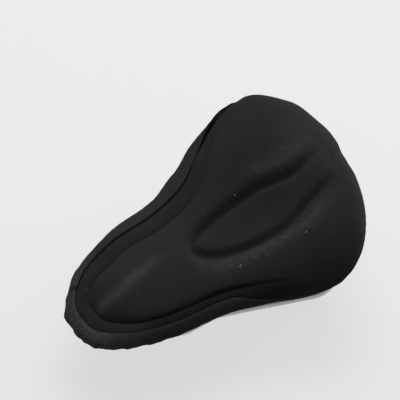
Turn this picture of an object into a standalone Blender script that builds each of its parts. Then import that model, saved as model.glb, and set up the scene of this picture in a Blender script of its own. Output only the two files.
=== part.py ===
"""Bike saddle in a slip-on padded cover. Metres, nose towards +X, rider's left at +Y, rails on the ground."""
import math

import bmesh
import bpy
from mathutils import Vector

# Fits between pieces
CLEARANCE = 0.0003
BORE_CLEARANCE = 0.0003

# Seam outline of the cover, seen from above
SEAM_LENGTH = 0.263
NOSE_WIDTH = 0.101
WING_WIDTH = 0.192
NOSE_SEAM_HEIGHT = 0.069
WING_SEAM_HEIGHT = 0.121
AROUND = 60

# Slip-on cover
FLANGE_WIDTH_NOSE = 0.012
FLANGE_WIDTH_WING = 0.005
FLANGE_FALL_NOSE = 0.000
FLANGE_FALL_WING = 0.006
FLANGE_THICKNESS = 0.0025
PAD_EDGE_RISE = 0.0055
PAD_CROWN = 0.0085
SEAT_VALLEY_DEPTH = 0.005
SEAT_VALLEY_WIDTH = 0.030
SEAT_VALLEY_RUN = 0.080
CHANNEL_FRONT = 0.018
CHANNEL_MIDDLE = -0.057
CHANNEL_HALF_WIDTH = 0.0245
CHANNEL_TAIL_HALF_WIDTH = 0.015
CHANNEL_TAIL = 0.025
CHANNEL_TIP_WIDTH = 0.009
CHANNEL_FADE_START = 0.035
CHANNEL_FADE_END = 0.075
GROOVE_WIDTH = 0.0045
GROOVE_DEPTH = 0.0045
SKIRT_THICKNESS = 0.0016
SKIRT_BULGE_NOSE = 0.0085
SKIRT_BULGE_WING = 0.0035
HEM_DROP = 0.006
HEM_FREE_EDGE = 0.006
HEM_TURN = 0.002
ELASTIC_WIDTH = 0.005
ELASTIC_THICKNESS = 0.0012
ELASTIC_PLAY = 0.0004

# Saddle under the cover
SADDLE_CROWN = 0.004
SADDLE_SIDE = 0.019
SKIN_THICKNESS = 0.0012
SKIN_TURN = 0.0068
PADDING_MIDDLE = 0.014
PADDING_EDGE = 0.006
SHELL_THICKNESS = 0.003
SHELL_INSET = 0.004
RIB_THICKNESS = 0.0025
RIB_DEPTH = 0.006
RIB_SPACING = 0.018
RIB_END_GAP = 0.012
RIB_REAR_GAP = 0.022
RIB_STEP_DOWN = 0.001
CROSS_RIB_FRONT = 0.035
CROSS_RIB_SPACING = 0.050
CROSS_RIB_REACH = 0.012

# Rails
RAIL_DIAMETER = 0.007
RAIL_SPACING = 0.044
RAIL_SIDES = 12
CLAMP_FRONT = 0.042
CLAMP_REAR = 0.004
REAR_SOCKET_AHEAD = 0.037
REAR_SOCKET_Y = 0.057
NOSE_SOCKET_BEHIND = 0.053
NOSE_SOCKET_SPACING = 0.020
NOSE_SOCKET_DROP = 0.021
NOSE_RUN_OUT = 0.008
SOCKET_DEPTH = 0.012
REAR_SOCKET_DEPTH = 0.030
RAIL_BEND = 0.016

# Brackets and screws
SOCKET_WALL = 0.003
PLATE_THICKNESS = 0.003
PLATE_LENGTH = 0.029
PLATE_WIDTH = 0.016
PLATE_INSET = 0.011
PLATE_AHEAD = 0.004
SOCKET_STANDOUT = 0.0015
POST_INSET = 0.001
NOSE_PLATE_LENGTH = 0.018
NOSE_PLATE_WIDTH = 0.052
BOSS_HEIGHT = 0.004
SCREW_EDGE = 0.005
SCREW_DIAMETER = 0.004
SCREW_LENGTH = 0.009
SCREW_TIP = 0.0015
OVERCUT = 0.002
TURNED_SIDES = 12
SCREW_HEAD_DIAMETER = 0.0075
SCREW_HEAD_HEIGHT = 0.0025

# Outline and height stations: share of the seam length behind the nose, and share of the width or height
NOSE_OUTLINE = ((0.0, 0.0), (0.011, 0.325), (0.050, 0.585), (0.114, 0.80), (0.240, 1.0), (0.410, 1.09))
WING_OUTLINE = ((0.550, 0.690), (0.660, 0.875), (0.776, 1.0), (0.880, 0.905), (0.960, 0.630),
                (1.003, 0.310), (1.005, 0.12), (1.0, 0.0))
HEIGHT_LINE = ((0.0, 0.0), (0.10, 0.17), (0.24, 0.23), (0.41, 0.26), (0.55, 0.31), (0.66, 0.425),
               (0.76, 0.615), (0.86, 0.835), (0.94, 0.96), (1.0, 1.0))


def smoothstep(value, low, high):
    """Ease from 0 at low to 1 at high."""
    share = min(max((value - low) / (high - low), 0.0), 1.0)
    return share * share * (3.0 - 2.0 * share)


def spline(points, share):
    """Read a smooth curve through the points, with share from 0 at the first to 1 at the last."""
    position = min(max(share, 0.0), 1.0) * (len(points) - 1)
    index = min(int(position), len(points) - 2)
    t = position - index
    p1 = Vector(points[index])
    p2 = Vector(points[index + 1])
    p0 = Vector(points[index - 1]) if index > 0 else 2.0 * p1 - p2
    p3 = Vector(points[index + 2]) if index + 2 < len(points) else 2.0 * p2 - p1
    return 0.5 * ((2.0 * p1) + (p2 - p0) * t + (2.0 * p0 - 5.0 * p1 + 4.0 * p2 - p3) * t ** 2
                  + (3.0 * p1 - p0 - 3.0 * p2 + p3) * t ** 3)


# The cover's side bulges past the seam, and the frame's origin is under the middle of the whole length
REAR_SHARE = max(along for along, across in WING_OUTLINE)
NOSE_REACH = (REAR_SHARE * SEAM_LENGTH + SKIRT_BULGE_WING - SKIRT_BULGE_NOSE) / 2.0


def half_outline():
    """Points of the seam from the nose tip round the +Y side to the middle of the rear, evenly spaced."""
    stations = []
    for along, across in NOSE_OUTLINE:
        stations.append((NOSE_REACH - along * SEAM_LENGTH, across * NOSE_WIDTH / 2.0))
    for along, across in WING_OUTLINE:
        stations.append((NOSE_REACH - along * SEAM_LENGTH, across * WING_WIDTH / 2.0))
    mirrored = [(stations[1][0], -stations[1][1])] + stations + [(stations[-2][0], -stations[-2][1])]
    steps = 40 * (len(mirrored) - 1)
    fine = [spline(mirrored, index / steps) for index in range(steps + 1)]
    fine = fine[40:-40]
    lengths = [0.0]
    for a, b in zip(fine, fine[1:]):
        lengths.append(lengths[-1] + (b - a).length)
    points = []
    cursor = 0
    for index in range(AROUND // 2 + 1):
        wanted = lengths[-1] * index / (AROUND // 2)
        while cursor < len(lengths) - 2 and lengths[cursor + 1] < wanted:
            cursor += 1
        t = (wanted - lengths[cursor]) / (lengths[cursor + 1] - lengths[cursor])
        points.append(fine[cursor].lerp(fine[cursor + 1], min(t, 1.0)))
    points[0].y = 0.0
    points[-1].y = 0.0
    return points


HALF = half_outline()
SPINE_NOSE = NOSE_REACH - 0.55 * NOSE_WIDTH
SPINE_REAR = NOSE_REACH - SEAM_LENGTH + 0.155 * WING_WIDTH
OUTLINE = HALF + [Vector((p.x, -p.y)) for p in reversed(HALF[1:-1])]


def refined(row):
    """Closed row with a point added at the middle of each side."""
    points = []
    for a, b in zip(row, row[1:] + row[:1]):
        points += [a, (a + b) / 2.0]
    return points


FINE_OUTLINE = refined(OUTLINE)


def spine_point(x):
    """Nearest point of the middle line that the spokes start from."""
    return Vector((min(max(x, SPINE_REAR), SPINE_NOSE), 0.0))


def seam_height(x):
    """Height of the seam above the ground at a distance along the saddle."""
    share = min(max((NOSE_REACH - x) / SEAM_LENGTH, 0.0), 1.0)
    low = 0.0
    high = 1.0
    for _ in range(30):
        middle = (low + high) / 2.0
        if spline(HEIGHT_LINE, middle).x < share:
            low = middle
        else:
            high = middle
    return NOSE_SEAM_HEIGHT + spline(HEIGHT_LINE, low).y * (WING_SEAM_HEIGHT - NOSE_SEAM_HEIGHT)


def wing_share(x):
    """0 over the nose and 1 over the wings."""
    return smoothstep(NOSE_REACH - x, 0.45 * SEAM_LENGTH, 0.80 * SEAM_LENGTH)


def blend(nose_value, wing_value, x):
    """Mix a size between its value at the nose and at the wings."""
    share = wing_share(x)
    return nose_value * (1.0 - share) + wing_value * share


def outline_radius(x, y):
    """Distance from the middle line to the seam, through the point."""
    y = abs(y)
    if SPINE_REAR <= x <= SPINE_NOSE:
        for a, b in zip(HALF, HALF[1:]):
            if a.x >= x >= b.x:
                return a.y + (b.y - a.y) * (a.x - x) / (a.x - b.x)
    origin = spine_point(x)
    wanted = math.atan2(y, x - origin.x)
    for a, b in zip(HALF, HALF[1:]):
        start = math.atan2(a.y, a.x - origin.x)
        end = math.atan2(b.y, b.x - origin.x)
        if start <= wanted <= end:
            t = (wanted - start) / (end - start)
            return (a.lerp(b, t) - origin).length
    return (HALF[-1] - origin).length


def seam_share(x, y):
    """0 on the middle line and 1 on the seam."""
    return (Vector((x, y)) - spine_point(x)).length / outline_radius(x, y)


def channel_tail_width(x):
    """Half-width of the channel behind its widest place."""
    tail = math.exp(-((x - CHANNEL_MIDDLE) / CHANNEL_TAIL) ** 2)
    return CHANNEL_TAIL_HALF_WIDTH + (CHANNEL_HALF_WIDTH - CHANNEL_TAIL_HALF_WIDTH) * tail


def channel_reach(x):
    """Distance of the channel's groove from the middle line, kept wide enough ahead of its tip for the rows."""
    if x <= CHANNEL_MIDDLE:
        return channel_tail_width(x)
    along = min((x - CHANNEL_MIDDLE) / (CHANNEL_FRONT - CHANNEL_MIDDLE), 1.0)
    return max(CHANNEL_HALF_WIDTH * math.sqrt(1.0 - along ** 2), CHANNEL_TIP_WIDTH)


def groove_distance(x, y):
    """Distance of a point from the middle of the channel's groove, which is leaf-shaped and open at the rear."""
    y = abs(y)
    if x > CHANNEL_MIDDLE:
        length = CHANNEL_FRONT - CHANNEL_MIDDLE
        along = (x - CHANNEL_MIDDLE) / length
        across = y / CHANNEL_HALF_WIDTH
        radius = max(math.hypot(along, across), 0.001)
        slope = math.hypot(along / (length * radius), across / (CHANNEL_HALF_WIDTH * radius))
        return (radius - 1.0) / slope
    return y - channel_tail_width(x)


def flange_share(x, y):
    """Share of the way to the seam at which the raised block ends and the flange starts."""
    return 1.0 - blend(FLANGE_WIDTH_NOSE, FLANGE_WIDTH_WING, x) / outline_radius(x, y)


def pad_top_height(x, y):
    """Top of the cover's pad: a domed block with a valley between the wings and the leaf-shaped groove."""
    share = seam_share(x, y)
    edge = flange_share(x, y)
    fall = blend(FLANGE_FALL_NOSE, FLANGE_FALL_WING, x)
    base = seam_height(x)
    if share >= edge:
        return base + fall * (1.0 - share) / (1.0 - edge)
    inner = share / edge
    height = base + fall + PAD_EDGE_RISE * (1.0 - inner ** 9) + PAD_CROWN * (1.0 - inner ** 2.2)
    valley = math.exp(-(y / SEAT_VALLEY_WIDTH) ** 2) * smoothstep(CHANNEL_FRONT - x, 0.0, SEAT_VALLEY_RUN)
    groove = math.exp(-(groove_distance(x, y) / GROOVE_WIDTH) ** 2)
    fade = 1.0 - smoothstep(CHANNEL_MIDDLE - x, CHANNEL_FADE_START, CHANNEL_FADE_END)
    return height - (valley * SEAT_VALLEY_DEPTH + groove * fade * GROOVE_DEPTH) * (1.0 - inner ** 8)


def skin_top_height(x, y):
    """Top of the saddle's own skin, under the cover."""
    share = min(seam_share(x, y), 1.0)
    return seam_height(x) - FLANGE_THICKNESS - CLEARANCE + SADDLE_CROWN * (1.0 - share ** 2)


def padding_top_height(x, y):
    """Top of the saddle's padding."""
    return skin_top_height(x, y) - SKIN_THICKNESS - CLEARANCE


def shell_top_height(x, y):
    """Top of the moulded base."""
    share = min(seam_share(x, y), 1.0)
    thickness = PADDING_MIDDLE + (PADDING_EDGE - PADDING_MIDDLE) * share ** 4
    return padding_top_height(x, y) - thickness - CLEARANCE


def shell_bottom_height(x, y):
    """Underside of the moulded base."""
    return shell_top_height(x, y) - SHELL_THICKNESS


def clear_scene():
    """Remove what the file opened with."""
    for item in list(bpy.data.objects):
        bpy.data.objects.remove(item, do_unlink=True)


def material(name, colour, roughness, metallic=0.0):
    """One Principled material."""
    found = bpy.data.materials.get(name)
    if found:
        return found
    made = bpy.data.materials.new(name)
    made.use_nodes = True
    shader = made.node_tree.nodes["Principled BSDF"]
    shader.inputs["Base Color"].default_value = (*colour, 1.0)
    shader.inputs["Roughness"].default_value = roughness
    shader.inputs["Metallic"].default_value = metallic
    made.diffuse_color = (*colour, 1.0)
    return made


def add_object(name, mesh_data, finish):
    """Link a mesh under its node name, with its material and smooth faces between sharp edges."""
    mesh_data.name = name
    mesh_data.materials.append(material(name + "_finish", *finish))
    mesh_data.shade_smooth()
    mesh_data.set_sharp_from_angle(angle=math.radians(38.0))
    item = bpy.data.objects.new(name, mesh_data)
    bpy.context.scene.collection.objects.link(item)
    return item


def mesh_from(vertices, faces, flat_faces=False):
    """Mesh whose faces point out of the solid, cut into triangles where each face has to be flat."""
    data = bpy.data.meshes.new("mesh")
    data.from_pydata([tuple(v) for v in vertices], [], faces)
    work = bmesh.new()
    work.from_mesh(data)
    bmesh.ops.recalc_face_normals(work, faces=work.faces)
    if flat_faces:
        bmesh.ops.triangulate(work, faces=work.faces)
    work.to_mesh(data)
    work.free()
    return data


def ring(offset_function, height_function, outline=OUTLINE):
    """Closed row of points round the saddle, offset outwards from the seam along its spokes."""
    points = []
    for seam in outline:
        origin = spine_point(seam.x)
        spoke = seam - origin
        place = origin + spoke.normalized() * (spoke.length + offset_function(seam, spoke.length))
        points.append(Vector((place.x, place.y, height_function(place, seam))))
    return points


def share_offset(share):
    """Offset that puts a ring at a share of the way from the middle line to the seam."""
    return lambda seam, radius: (share - 1.0) * radius


def channel_offset(stretch, shift):
    """Offset that puts a ring beside the channel's groove: a stretch of its reach, and a shift outwards."""
    return lambda seam, radius: channel_reach(spine_point(seam.x).x) * stretch + shift - radius


def between_offset(share):
    """Offset between the channel's outer side and the edge of the raised block."""
    def offset(seam, radius):
        start = channel_reach(spine_point(seam.x).x) + GROOVE_WIDTH
        edge = radius * flange_share(seam.x, seam.y)
        return start + (edge - start) * share - radius
    return offset


def on_surface(surface):
    """Height of a ring that lies on a surface over the plan."""
    return lambda place, seam: surface(place.x, place.y)


def below_seam(depth):
    """Height of a ring that hangs below the seam beside it."""
    return lambda place, seam: seam_height(seam.x) - depth


def spine_row(surface, outline=OUTLINE):
    """Middle line of a surface: one point for each point of the outline, shared where they meet."""
    return [Vector((spine_point(p.x).x, 0.0, surface(spine_point(p.x).x, 0.0))) for p in outline]


def loft(rows, closed=False):
    """Mesh over rows of equal length, welded at the middle line; each quad is cut along its shorter diagonal."""
    vertices = []
    faces = []
    lookup = {}
    grid = []
    for row in rows:
        line = []
        for point in row:
            key = (round(point.x, 7), round(point.y, 7), round(point.z, 7))
            if key not in lookup:
                lookup[key] = len(vertices)
                vertices.append(point)
            line.append(lookup[key])
        grid.append(line)
    pairs = list(zip(grid, grid[1:]))
    if closed:
        pairs.append((grid[-1], grid[0]))
    for upper, lower in pairs:
        for index in range(len(upper)):
            after = (index + 1) % len(upper)
            corners = []
            for vertex in (upper[index], upper[after], lower[after], lower[index]):
                if vertex not in corners:
                    corners.append(vertex)
            if len(corners) == 4:
                a, b, c, d = corners
                if (vertices[a] - vertices[c]).length <= (vertices[b] - vertices[d]).length:
                    faces += [[a, b, c], [a, c, d]]
                else:
                    faces += [[a, b, d], [b, c, d]]
            elif len(corners) == 3:
                faces.append(corners)
    return mesh_from(vertices, faces)


def bulge(share, inset=0.0):
    """Offset outside the seam, as a share of the skirt's bulge, less an inset towards the saddle."""
    return lambda seam, radius: share * blend(SKIRT_BULGE_NOSE, SKIRT_BULGE_WING, seam.x) - inset


def inwards(distance):
    """Offset by a distance inside the seam."""
    return lambda seam, radius: -distance


SECTION_SHARES = (0.3, 0.6, 0.82)
PAD_SHARES = (0.35, 0.65, 0.85, 0.95, 1.0)
SIDE_SECTION = ((0.62, 0.16), (0.92, 0.32), (1.0, 0.52), (0.86, 0.80))


def side_rows(inset, top_depth, bottom_depth):
    """Rows down the side bulge, from below the seam to the saddle's lower edge."""
    rows = []
    for share, drop in SIDE_SECTION:
        depth = top_depth * (1.0 - drop) ** 3 + bottom_depth * drop
        rows.append(ring(bulge(share, inset), below_seam(depth)))
    rows.append(ring(bulge(0.35, inset), below_seam(bottom_depth)))
    return rows


def surface_rows(surface, outwards, inset=0.0):
    """Rows of a surface over the plan, from the middle line to an inset from the seam, or back."""
    rows = [spine_row(surface)]
    for share in SECTION_SHARES:
        rows.append(ring(share_offset(share), on_surface(surface)))
    rows.append(ring(inwards(inset), on_surface(surface)))
    return rows if outwards else rows[::-1]


def make_cover_top_pad(finish):
    """Moulded top panel: raised block with its channel, flange and flat underside."""
    offsets = [channel_offset(0.5, 0.0), channel_offset(1.0, -GROOVE_WIDTH), channel_offset(1.0, 0.0),
               channel_offset(1.0, GROOVE_WIDTH)]
    offsets += [between_offset(share) for share in PAD_SHARES]
    rows = [spine_row(pad_top_height, FINE_OUTLINE)]
    rows += [ring(offset, on_surface(pad_top_height), FINE_OUTLINE) for offset in offsets]
    rows.append(refined(ring(share_offset(1.0), below_seam(0.0))))
    underside = surface_rows(lambda x, y: skin_top_height(x, y) + CLEARANCE, outwards=False)
    rows += [refined(row) for row in underside]
    return add_object("cover_top_pad", loft(rows), finish)


def make_cover_side_skirt(finish):
    """Stretch side band from the seam down over the saddle's edge, with its hem folded back inside."""
    t = SKIRT_THICKNESS
    low = SADDLE_SIDE + HEM_DROP
    fold = HEM_FREE_EDGE + t + ELASTIC_WIDTH + 2.0 * ELASTIC_PLAY
    tunnel = ELASTIC_THICKNESS + 2.0 * ELASTIC_PLAY
    rows = [ring(bulge(0.0, -CLEARANCE), below_seam(0.0))]
    rows += side_rows(0.0, 0.0, SADDLE_SIDE)
    rows += [
        ring(inwards(HEM_TURN), below_seam(low)),
        ring(inwards(fold), below_seam(low)),
        ring(inwards(fold + t / 2.0), below_seam(low - t - tunnel / 2.0)),
        ring(inwards(fold), below_seam(low - 2.0 * t - tunnel)),
        ring(inwards(HEM_FREE_EDGE), below_seam(low - 2.0 * t - tunnel)),
        ring(inwards(HEM_FREE_EDGE), below_seam(low - t - tunnel)),
        ring(inwards(fold - t), below_seam(low - t - tunnel)),
        ring(inwards(fold - t), below_seam(low - t)),
        ring(inwards(HEM_TURN + t), below_seam(low - t)),
    ]
    rows += side_rows(t, t, SADDLE_SIDE)[::-1]
    rows.append(ring(bulge(0.0, -CLEARANCE), below_seam(t)))
    return add_object("cover_side_skirt", loft(rows, closed=True), finish)


def make_hem_elastic(finish):
    """Flat elastic in the hem's tunnel."""
    outer = HEM_FREE_EDGE + ELASTIC_PLAY
    inner = outer + ELASTIC_WIDTH
    low = SADDLE_SIDE + HEM_DROP - SKIRT_THICKNESS - ELASTIC_PLAY
    high = low - ELASTIC_THICKNESS
    rows = [ring(inwards(side), below_seam(depth))
            for side, depth in ((outer, high), (outer, low), (inner, low), (inner, high))]
    return add_object("hem_elastic", loft(rows, closed=True), finish)


def make_saddle_skin(finish):
    """Vinyl skin over the padding, turned under the shell's rim."""
    inset = SKIRT_THICKNESS + CLEARANCE
    inner = inset + SKIN_THICKNESS
    top = FLANGE_THICKNESS + CLEARANCE
    rows = surface_rows(skin_top_height, outwards=True, inset=inset / 2.0)
    rows += side_rows(inset, top, SADDLE_SIDE)
    rows += [ring(inwards(SKIN_TURN), below_seam(SADDLE_SIDE)),
             ring(inwards(SKIN_TURN), below_seam(SADDLE_SIDE - SKIN_THICKNESS))]
    rows += side_rows(inner, top + SKIN_THICKNESS, SADDLE_SIDE - SKIN_THICKNESS)[::-1]
    rows += surface_rows(lambda x, y: skin_top_height(x, y) - SKIN_THICKNESS, outwards=False,
                         inset=inner / 2.0)
    return add_object("saddle_skin", loft(rows), finish)


def make_saddle_padding(finish):
    """Foam between the skin and the shell, wrapped over the shell's rim."""
    inset = SKIRT_THICKNESS + SKIN_THICKNESS + 2.0 * CLEARANCE
    top = FLANGE_THICKNESS + SKIN_THICKNESS + 2.0 * CLEARANCE
    bottom = SADDLE_SIDE - SKIN_THICKNESS - CLEARANCE
    rows = surface_rows(padding_top_height, outwards=True, inset=inset / 2.0)
    rows += side_rows(inset, top, bottom)[:-1]
    rows.append(ring(inwards(SHELL_INSET - 2.0 * CLEARANCE), below_seam(bottom * SIDE_SECTION[-1][1])))
    rows += surface_rows(lambda x, y: shell_top_height(x, y) + CLEARANCE, outwards=False,
                         inset=SHELL_INSET - 2.0 * CLEARANCE)
    return add_object("saddle_padding", loft(rows), finish)


def hidden(item):
    """Mark an object as a shape that only cuts or joins."""
    item.hide_render = True
    item.display_type = "WIRE"
    return item


def combine(target, tool, operation, solver="EXACT"):
    """Join or cut a solid with another."""
    modifier = target.modifiers.new(tool.name, "BOOLEAN")
    modifier.operation = operation
    modifier.object = tool
    modifier.solver = solver


def shell_middle_height(x, y):
    """Middle of the moulded base's wall."""
    return (shell_top_height(x, y) + shell_bottom_height(x, y)) / 2.0


def prism_under_shell(name, x_range, y_range, bottom_height, steps):
    """Block whose top runs inside the shell's wall, down to a height given at each point."""
    vertices = []
    faces = []
    nx, ny = steps
    for level in range(2):
        for i in range(nx + 1):
            for j in range(ny + 1):
                x = x_range[0] + (x_range[1] - x_range[0]) * i / nx
                y = y_range[0] + (y_range[1] - y_range[0]) * j / ny
                z = bottom_height(x, y) if level == 0 else shell_middle_height(x, y)
                vertices.append((x, y, z))

    def index(level, i, j):
        return level * (nx + 1) * (ny + 1) + i * (ny + 1) + j

    for i in range(nx):
        for j in range(ny):
            for level in range(2):
                faces.append([index(level, i, j), index(level, i + 1, j),
                              index(level, i + 1, j + 1), index(level, i, j + 1)])
    for i in range(nx):
        for j in (0, ny):
            faces.append([index(0, i, j), index(0, i + 1, j), index(1, i + 1, j), index(1, i, j)])
    for j in range(ny):
        for i in (0, nx):
            faces.append([index(0, i, j), index(0, i, j + 1), index(1, i, j + 1), index(1, i, j)])
    return hidden(add_object(name, mesh_from(vertices, faces, flat_faces=True), FINISHES["shell"]))


def turned(name, profile, place, axis, finish, sides=TURNED_SIDES):
    """Turned solid from (radius, height) points along an axis."""
    work = bmesh.new()
    rows = []
    for radius, height in profile:
        if radius == 0.0:
            rows.append([work.verts.new((0.0, 0.0, height))])
        else:
            rows.append([work.verts.new((radius * math.cos(2.0 * math.pi * (k + 0.5) / sides),
                                         radius * math.sin(2.0 * math.pi * (k + 0.5) / sides), height))
                         for k in range(sides)])
    for low, high in zip(rows, rows[1:]):
        for k in range(sides):
            after = (k + 1) % sides
            corners = []
            for vertex in (low[k % len(low)], low[after % len(low)], high[after % len(high)],
                           high[k % len(high)]):
                if vertex not in corners:
                    corners.append(vertex)
            work.faces.new(corners)
    turn = Vector((0.0, 0.0, 1.0)).rotation_difference(Vector(axis))
    for vertex in work.verts:
        vertex.co = turn @ vertex.co + Vector(place)
    bmesh.ops.recalc_face_normals(work, faces=work.faces)
    data = bpy.data.meshes.new(name)
    work.to_mesh(data)
    work.free()
    return add_object(name, data, finish)


def plate_mesh(name, centre, size, finish):
    """Flat plate with bevelled edges."""
    work = bmesh.new()
    bmesh.ops.create_cube(work, size=1.0)
    for vertex in work.verts:
        vertex.co = Vector(centre) + Vector([vertex.co[k] * size[k] for k in range(3)])
    upright = [e for e in work.edges if abs(e.verts[0].co.z - e.verts[1].co.z) > size[2] / 2.0]
    bmesh.ops.bevel(work, geom=upright, offset=min(size[0], size[1]) * 0.2, segments=2, affect="EDGES",
                    profile=0.5)
    data = bpy.data.meshes.new(name)
    work.to_mesh(data)
    work.free()
    return add_object(name, data, finish)


RAIL_RADIUS = RAIL_DIAMETER / 2.0
BORE_RADIUS = RAIL_RADIUS + BORE_CLEARANCE
SOCKET_RADIUS = BORE_RADIUS + SOCKET_WALL
BORE_CUTTER_RADIUS = BORE_RADIUS / math.cos(math.pi / TURNED_SIDES)
NOSE_SOCKET_X = NOSE_REACH - NOSE_SOCKET_BEHIND
REAR_SOCKET_X = NOSE_REACH - SEAM_LENGTH + REAR_SOCKET_AHEAD
PLATE_X = REAR_SOCKET_X + PLATE_AHEAD
PLATE_Y = REAR_SOCKET_Y - PLATE_INSET
REAR_BOSS_Z = min(shell_bottom_height(PLATE_X + i * PLATE_LENGTH / 2.0, PLATE_Y + j * PLATE_WIDTH / 2.0)
                  for i in (-1, 1) for j in (-1, 1)) - BOSS_HEIGHT
NOSE_PLATE_X = NOSE_SOCKET_X + SOCKET_STANDOUT + NOSE_PLATE_LENGTH / 2.0
NOSE_BOSS_Z = min(shell_bottom_height(NOSE_PLATE_X + i * NOSE_PLATE_LENGTH / 2.0, j * NOSE_PLATE_WIDTH / 2.0)
                  for i in (-1, 1) for j in (0, 1)) - BOSS_HEIGHT
NOSE_SOCKET_Z = NOSE_BOSS_Z - CLEARANCE - NOSE_SOCKET_DROP
REAR_RAIL_TOP = REAR_BOSS_Z - CLEARANCE - SOCKET_WALL - CLEARANCE
SCREW_RADIUS = SCREW_DIAMETER / 2.0


def screw_places():
    """Name, place of the plate's underside and side of each screw."""
    places = []
    for side, sign in (("left", 1.0), ("right", -1.0)):
        across = sign * (NOSE_PLATE_WIDTH / 2.0 - SCREW_EDGE)
        places.append(("nose_screw_" + side, NOSE_PLATE_X, across, NOSE_BOSS_Z))
        for end, direction in (("front", 1.0), ("rear", -1.0)):
            along = PLATE_X + direction * (PLATE_LENGTH / 2.0 - SCREW_EDGE)
            places.append(("rear_screw_" + side + "_" + end, along, sign * PLATE_Y, REAR_BOSS_Z))
    return places


def make_saddle_shell(finish):
    """Moulded base: dished wall with a rim, ribs, and bosses drilled for the screws."""
    rim_low = SADDLE_SIDE - SKIN_THICKNESS - 2.0 * CLEARANCE
    rows = surface_rows(shell_top_height, outwards=True, inset=SHELL_INSET)
    rows.append(ring(inwards(SHELL_INSET), below_seam(rim_low)))
    rows.append(ring(inwards(SHELL_INSET + SHELL_THICKNESS), below_seam(rim_low)))
    rows += surface_rows(shell_bottom_height, outwards=False, inset=SHELL_INSET + SHELL_THICKNESS)
    shell = add_object("saddle_shell", loft(rows), finish)

    def rib_bottom(x, y):
        return shell_bottom_height(x, y) - RIB_DEPTH

    front = NOSE_SOCKET_X - RIB_END_GAP
    rear = NOSE_REACH - SEAM_LENGTH + RIB_REAR_GAP
    for number in range(-1, 2):
        y = number * RIB_SPACING
        rib = prism_under_shell("rib_along_%d" % (number + 2), (rear, front),
                                (y - RIB_THICKNESS / 2.0, y + RIB_THICKNESS / 2.0), rib_bottom, (10, 1))
        combine(shell, rib, "UNION", "MANIFOLD")
    for number in range(3):
        x = CROSS_RIB_FRONT - number * CROSS_RIB_SPACING
        reach = RIB_SPACING + CROSS_RIB_REACH
        rib = prism_under_shell("rib_across_%d" % (number + 1), (x, x + RIB_THICKNESS),
                                (-reach, reach), lambda a, b: rib_bottom(a, b) + RIB_STEP_DOWN, (1, 6))
        combine(shell, rib, "UNION", "MANIFOLD")
    for side in (1.0, -1.0):
        centre = side * PLATE_Y
        boss = prism_under_shell("rear_boss_%d" % side,
                                 (PLATE_X - PLATE_LENGTH / 2.0, PLATE_X + PLATE_LENGTH / 2.0),
                                 (centre - PLATE_WIDTH / 2.0, centre + PLATE_WIDTH / 2.0),
                                 lambda a, b: REAR_BOSS_Z, (4, 2))
        combine(shell, boss, "UNION", "MANIFOLD")
    boss = prism_under_shell("nose_boss",
                             (NOSE_PLATE_X - NOSE_PLATE_LENGTH / 2.0, NOSE_PLATE_X + NOSE_PLATE_LENGTH / 2.0),
                             (-NOSE_PLATE_WIDTH / 2.0, NOSE_PLATE_WIDTH / 2.0), lambda a, b: NOSE_BOSS_Z, (2, 6))
    combine(shell, boss, "UNION", "MANIFOLD")
    for name, x, y, z in screw_places():
        depth = SCREW_LENGTH - PLATE_THICKNESS - CLEARANCE
        radius = SCREW_RADIUS + CLEARANCE
        hole = turned(name + "_hole", ((0.0, -OVERCUT), (radius, -OVERCUT), (radius, depth + CLEARANCE),
                                       (0.0, depth + CLEARANCE)), (x, y, z), (0.0, 0.0, 1.0), finish)
        combine(shell, hidden(hole), "DIFFERENCE", "MANIFOLD")
    return shell


def rounded_path(corners, bend, steps=5):
    """Corners joined by straight runs, with an arc at each bend."""
    points = [corners[0]]
    for before, corner, after in zip(corners, corners[1:], corners[2:]):
        a = (before - corner).normalized()
        b = (after - corner).normalized()
        half = a.angle(b) / 2.0
        reach = min(bend / math.tan(half), 0.45 * (before - corner).length, 0.45 * (after - corner).length)
        radius = reach * math.tan(half)
        centre = corner + (a + b).normalized() * (radius / math.sin(half))
        start = corner + a * reach - centre
        sweep = math.pi - 2.0 * half
        axis = start.cross(corner + b * reach - centre).normalized()
        for index in range(steps + 1):
            angle = sweep * index / steps
            turned_arm = start * math.cos(angle) + axis.cross(start) * math.sin(angle)
            points.append(centre + turned_arm)
    points.append(corners[-1])
    return points


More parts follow.
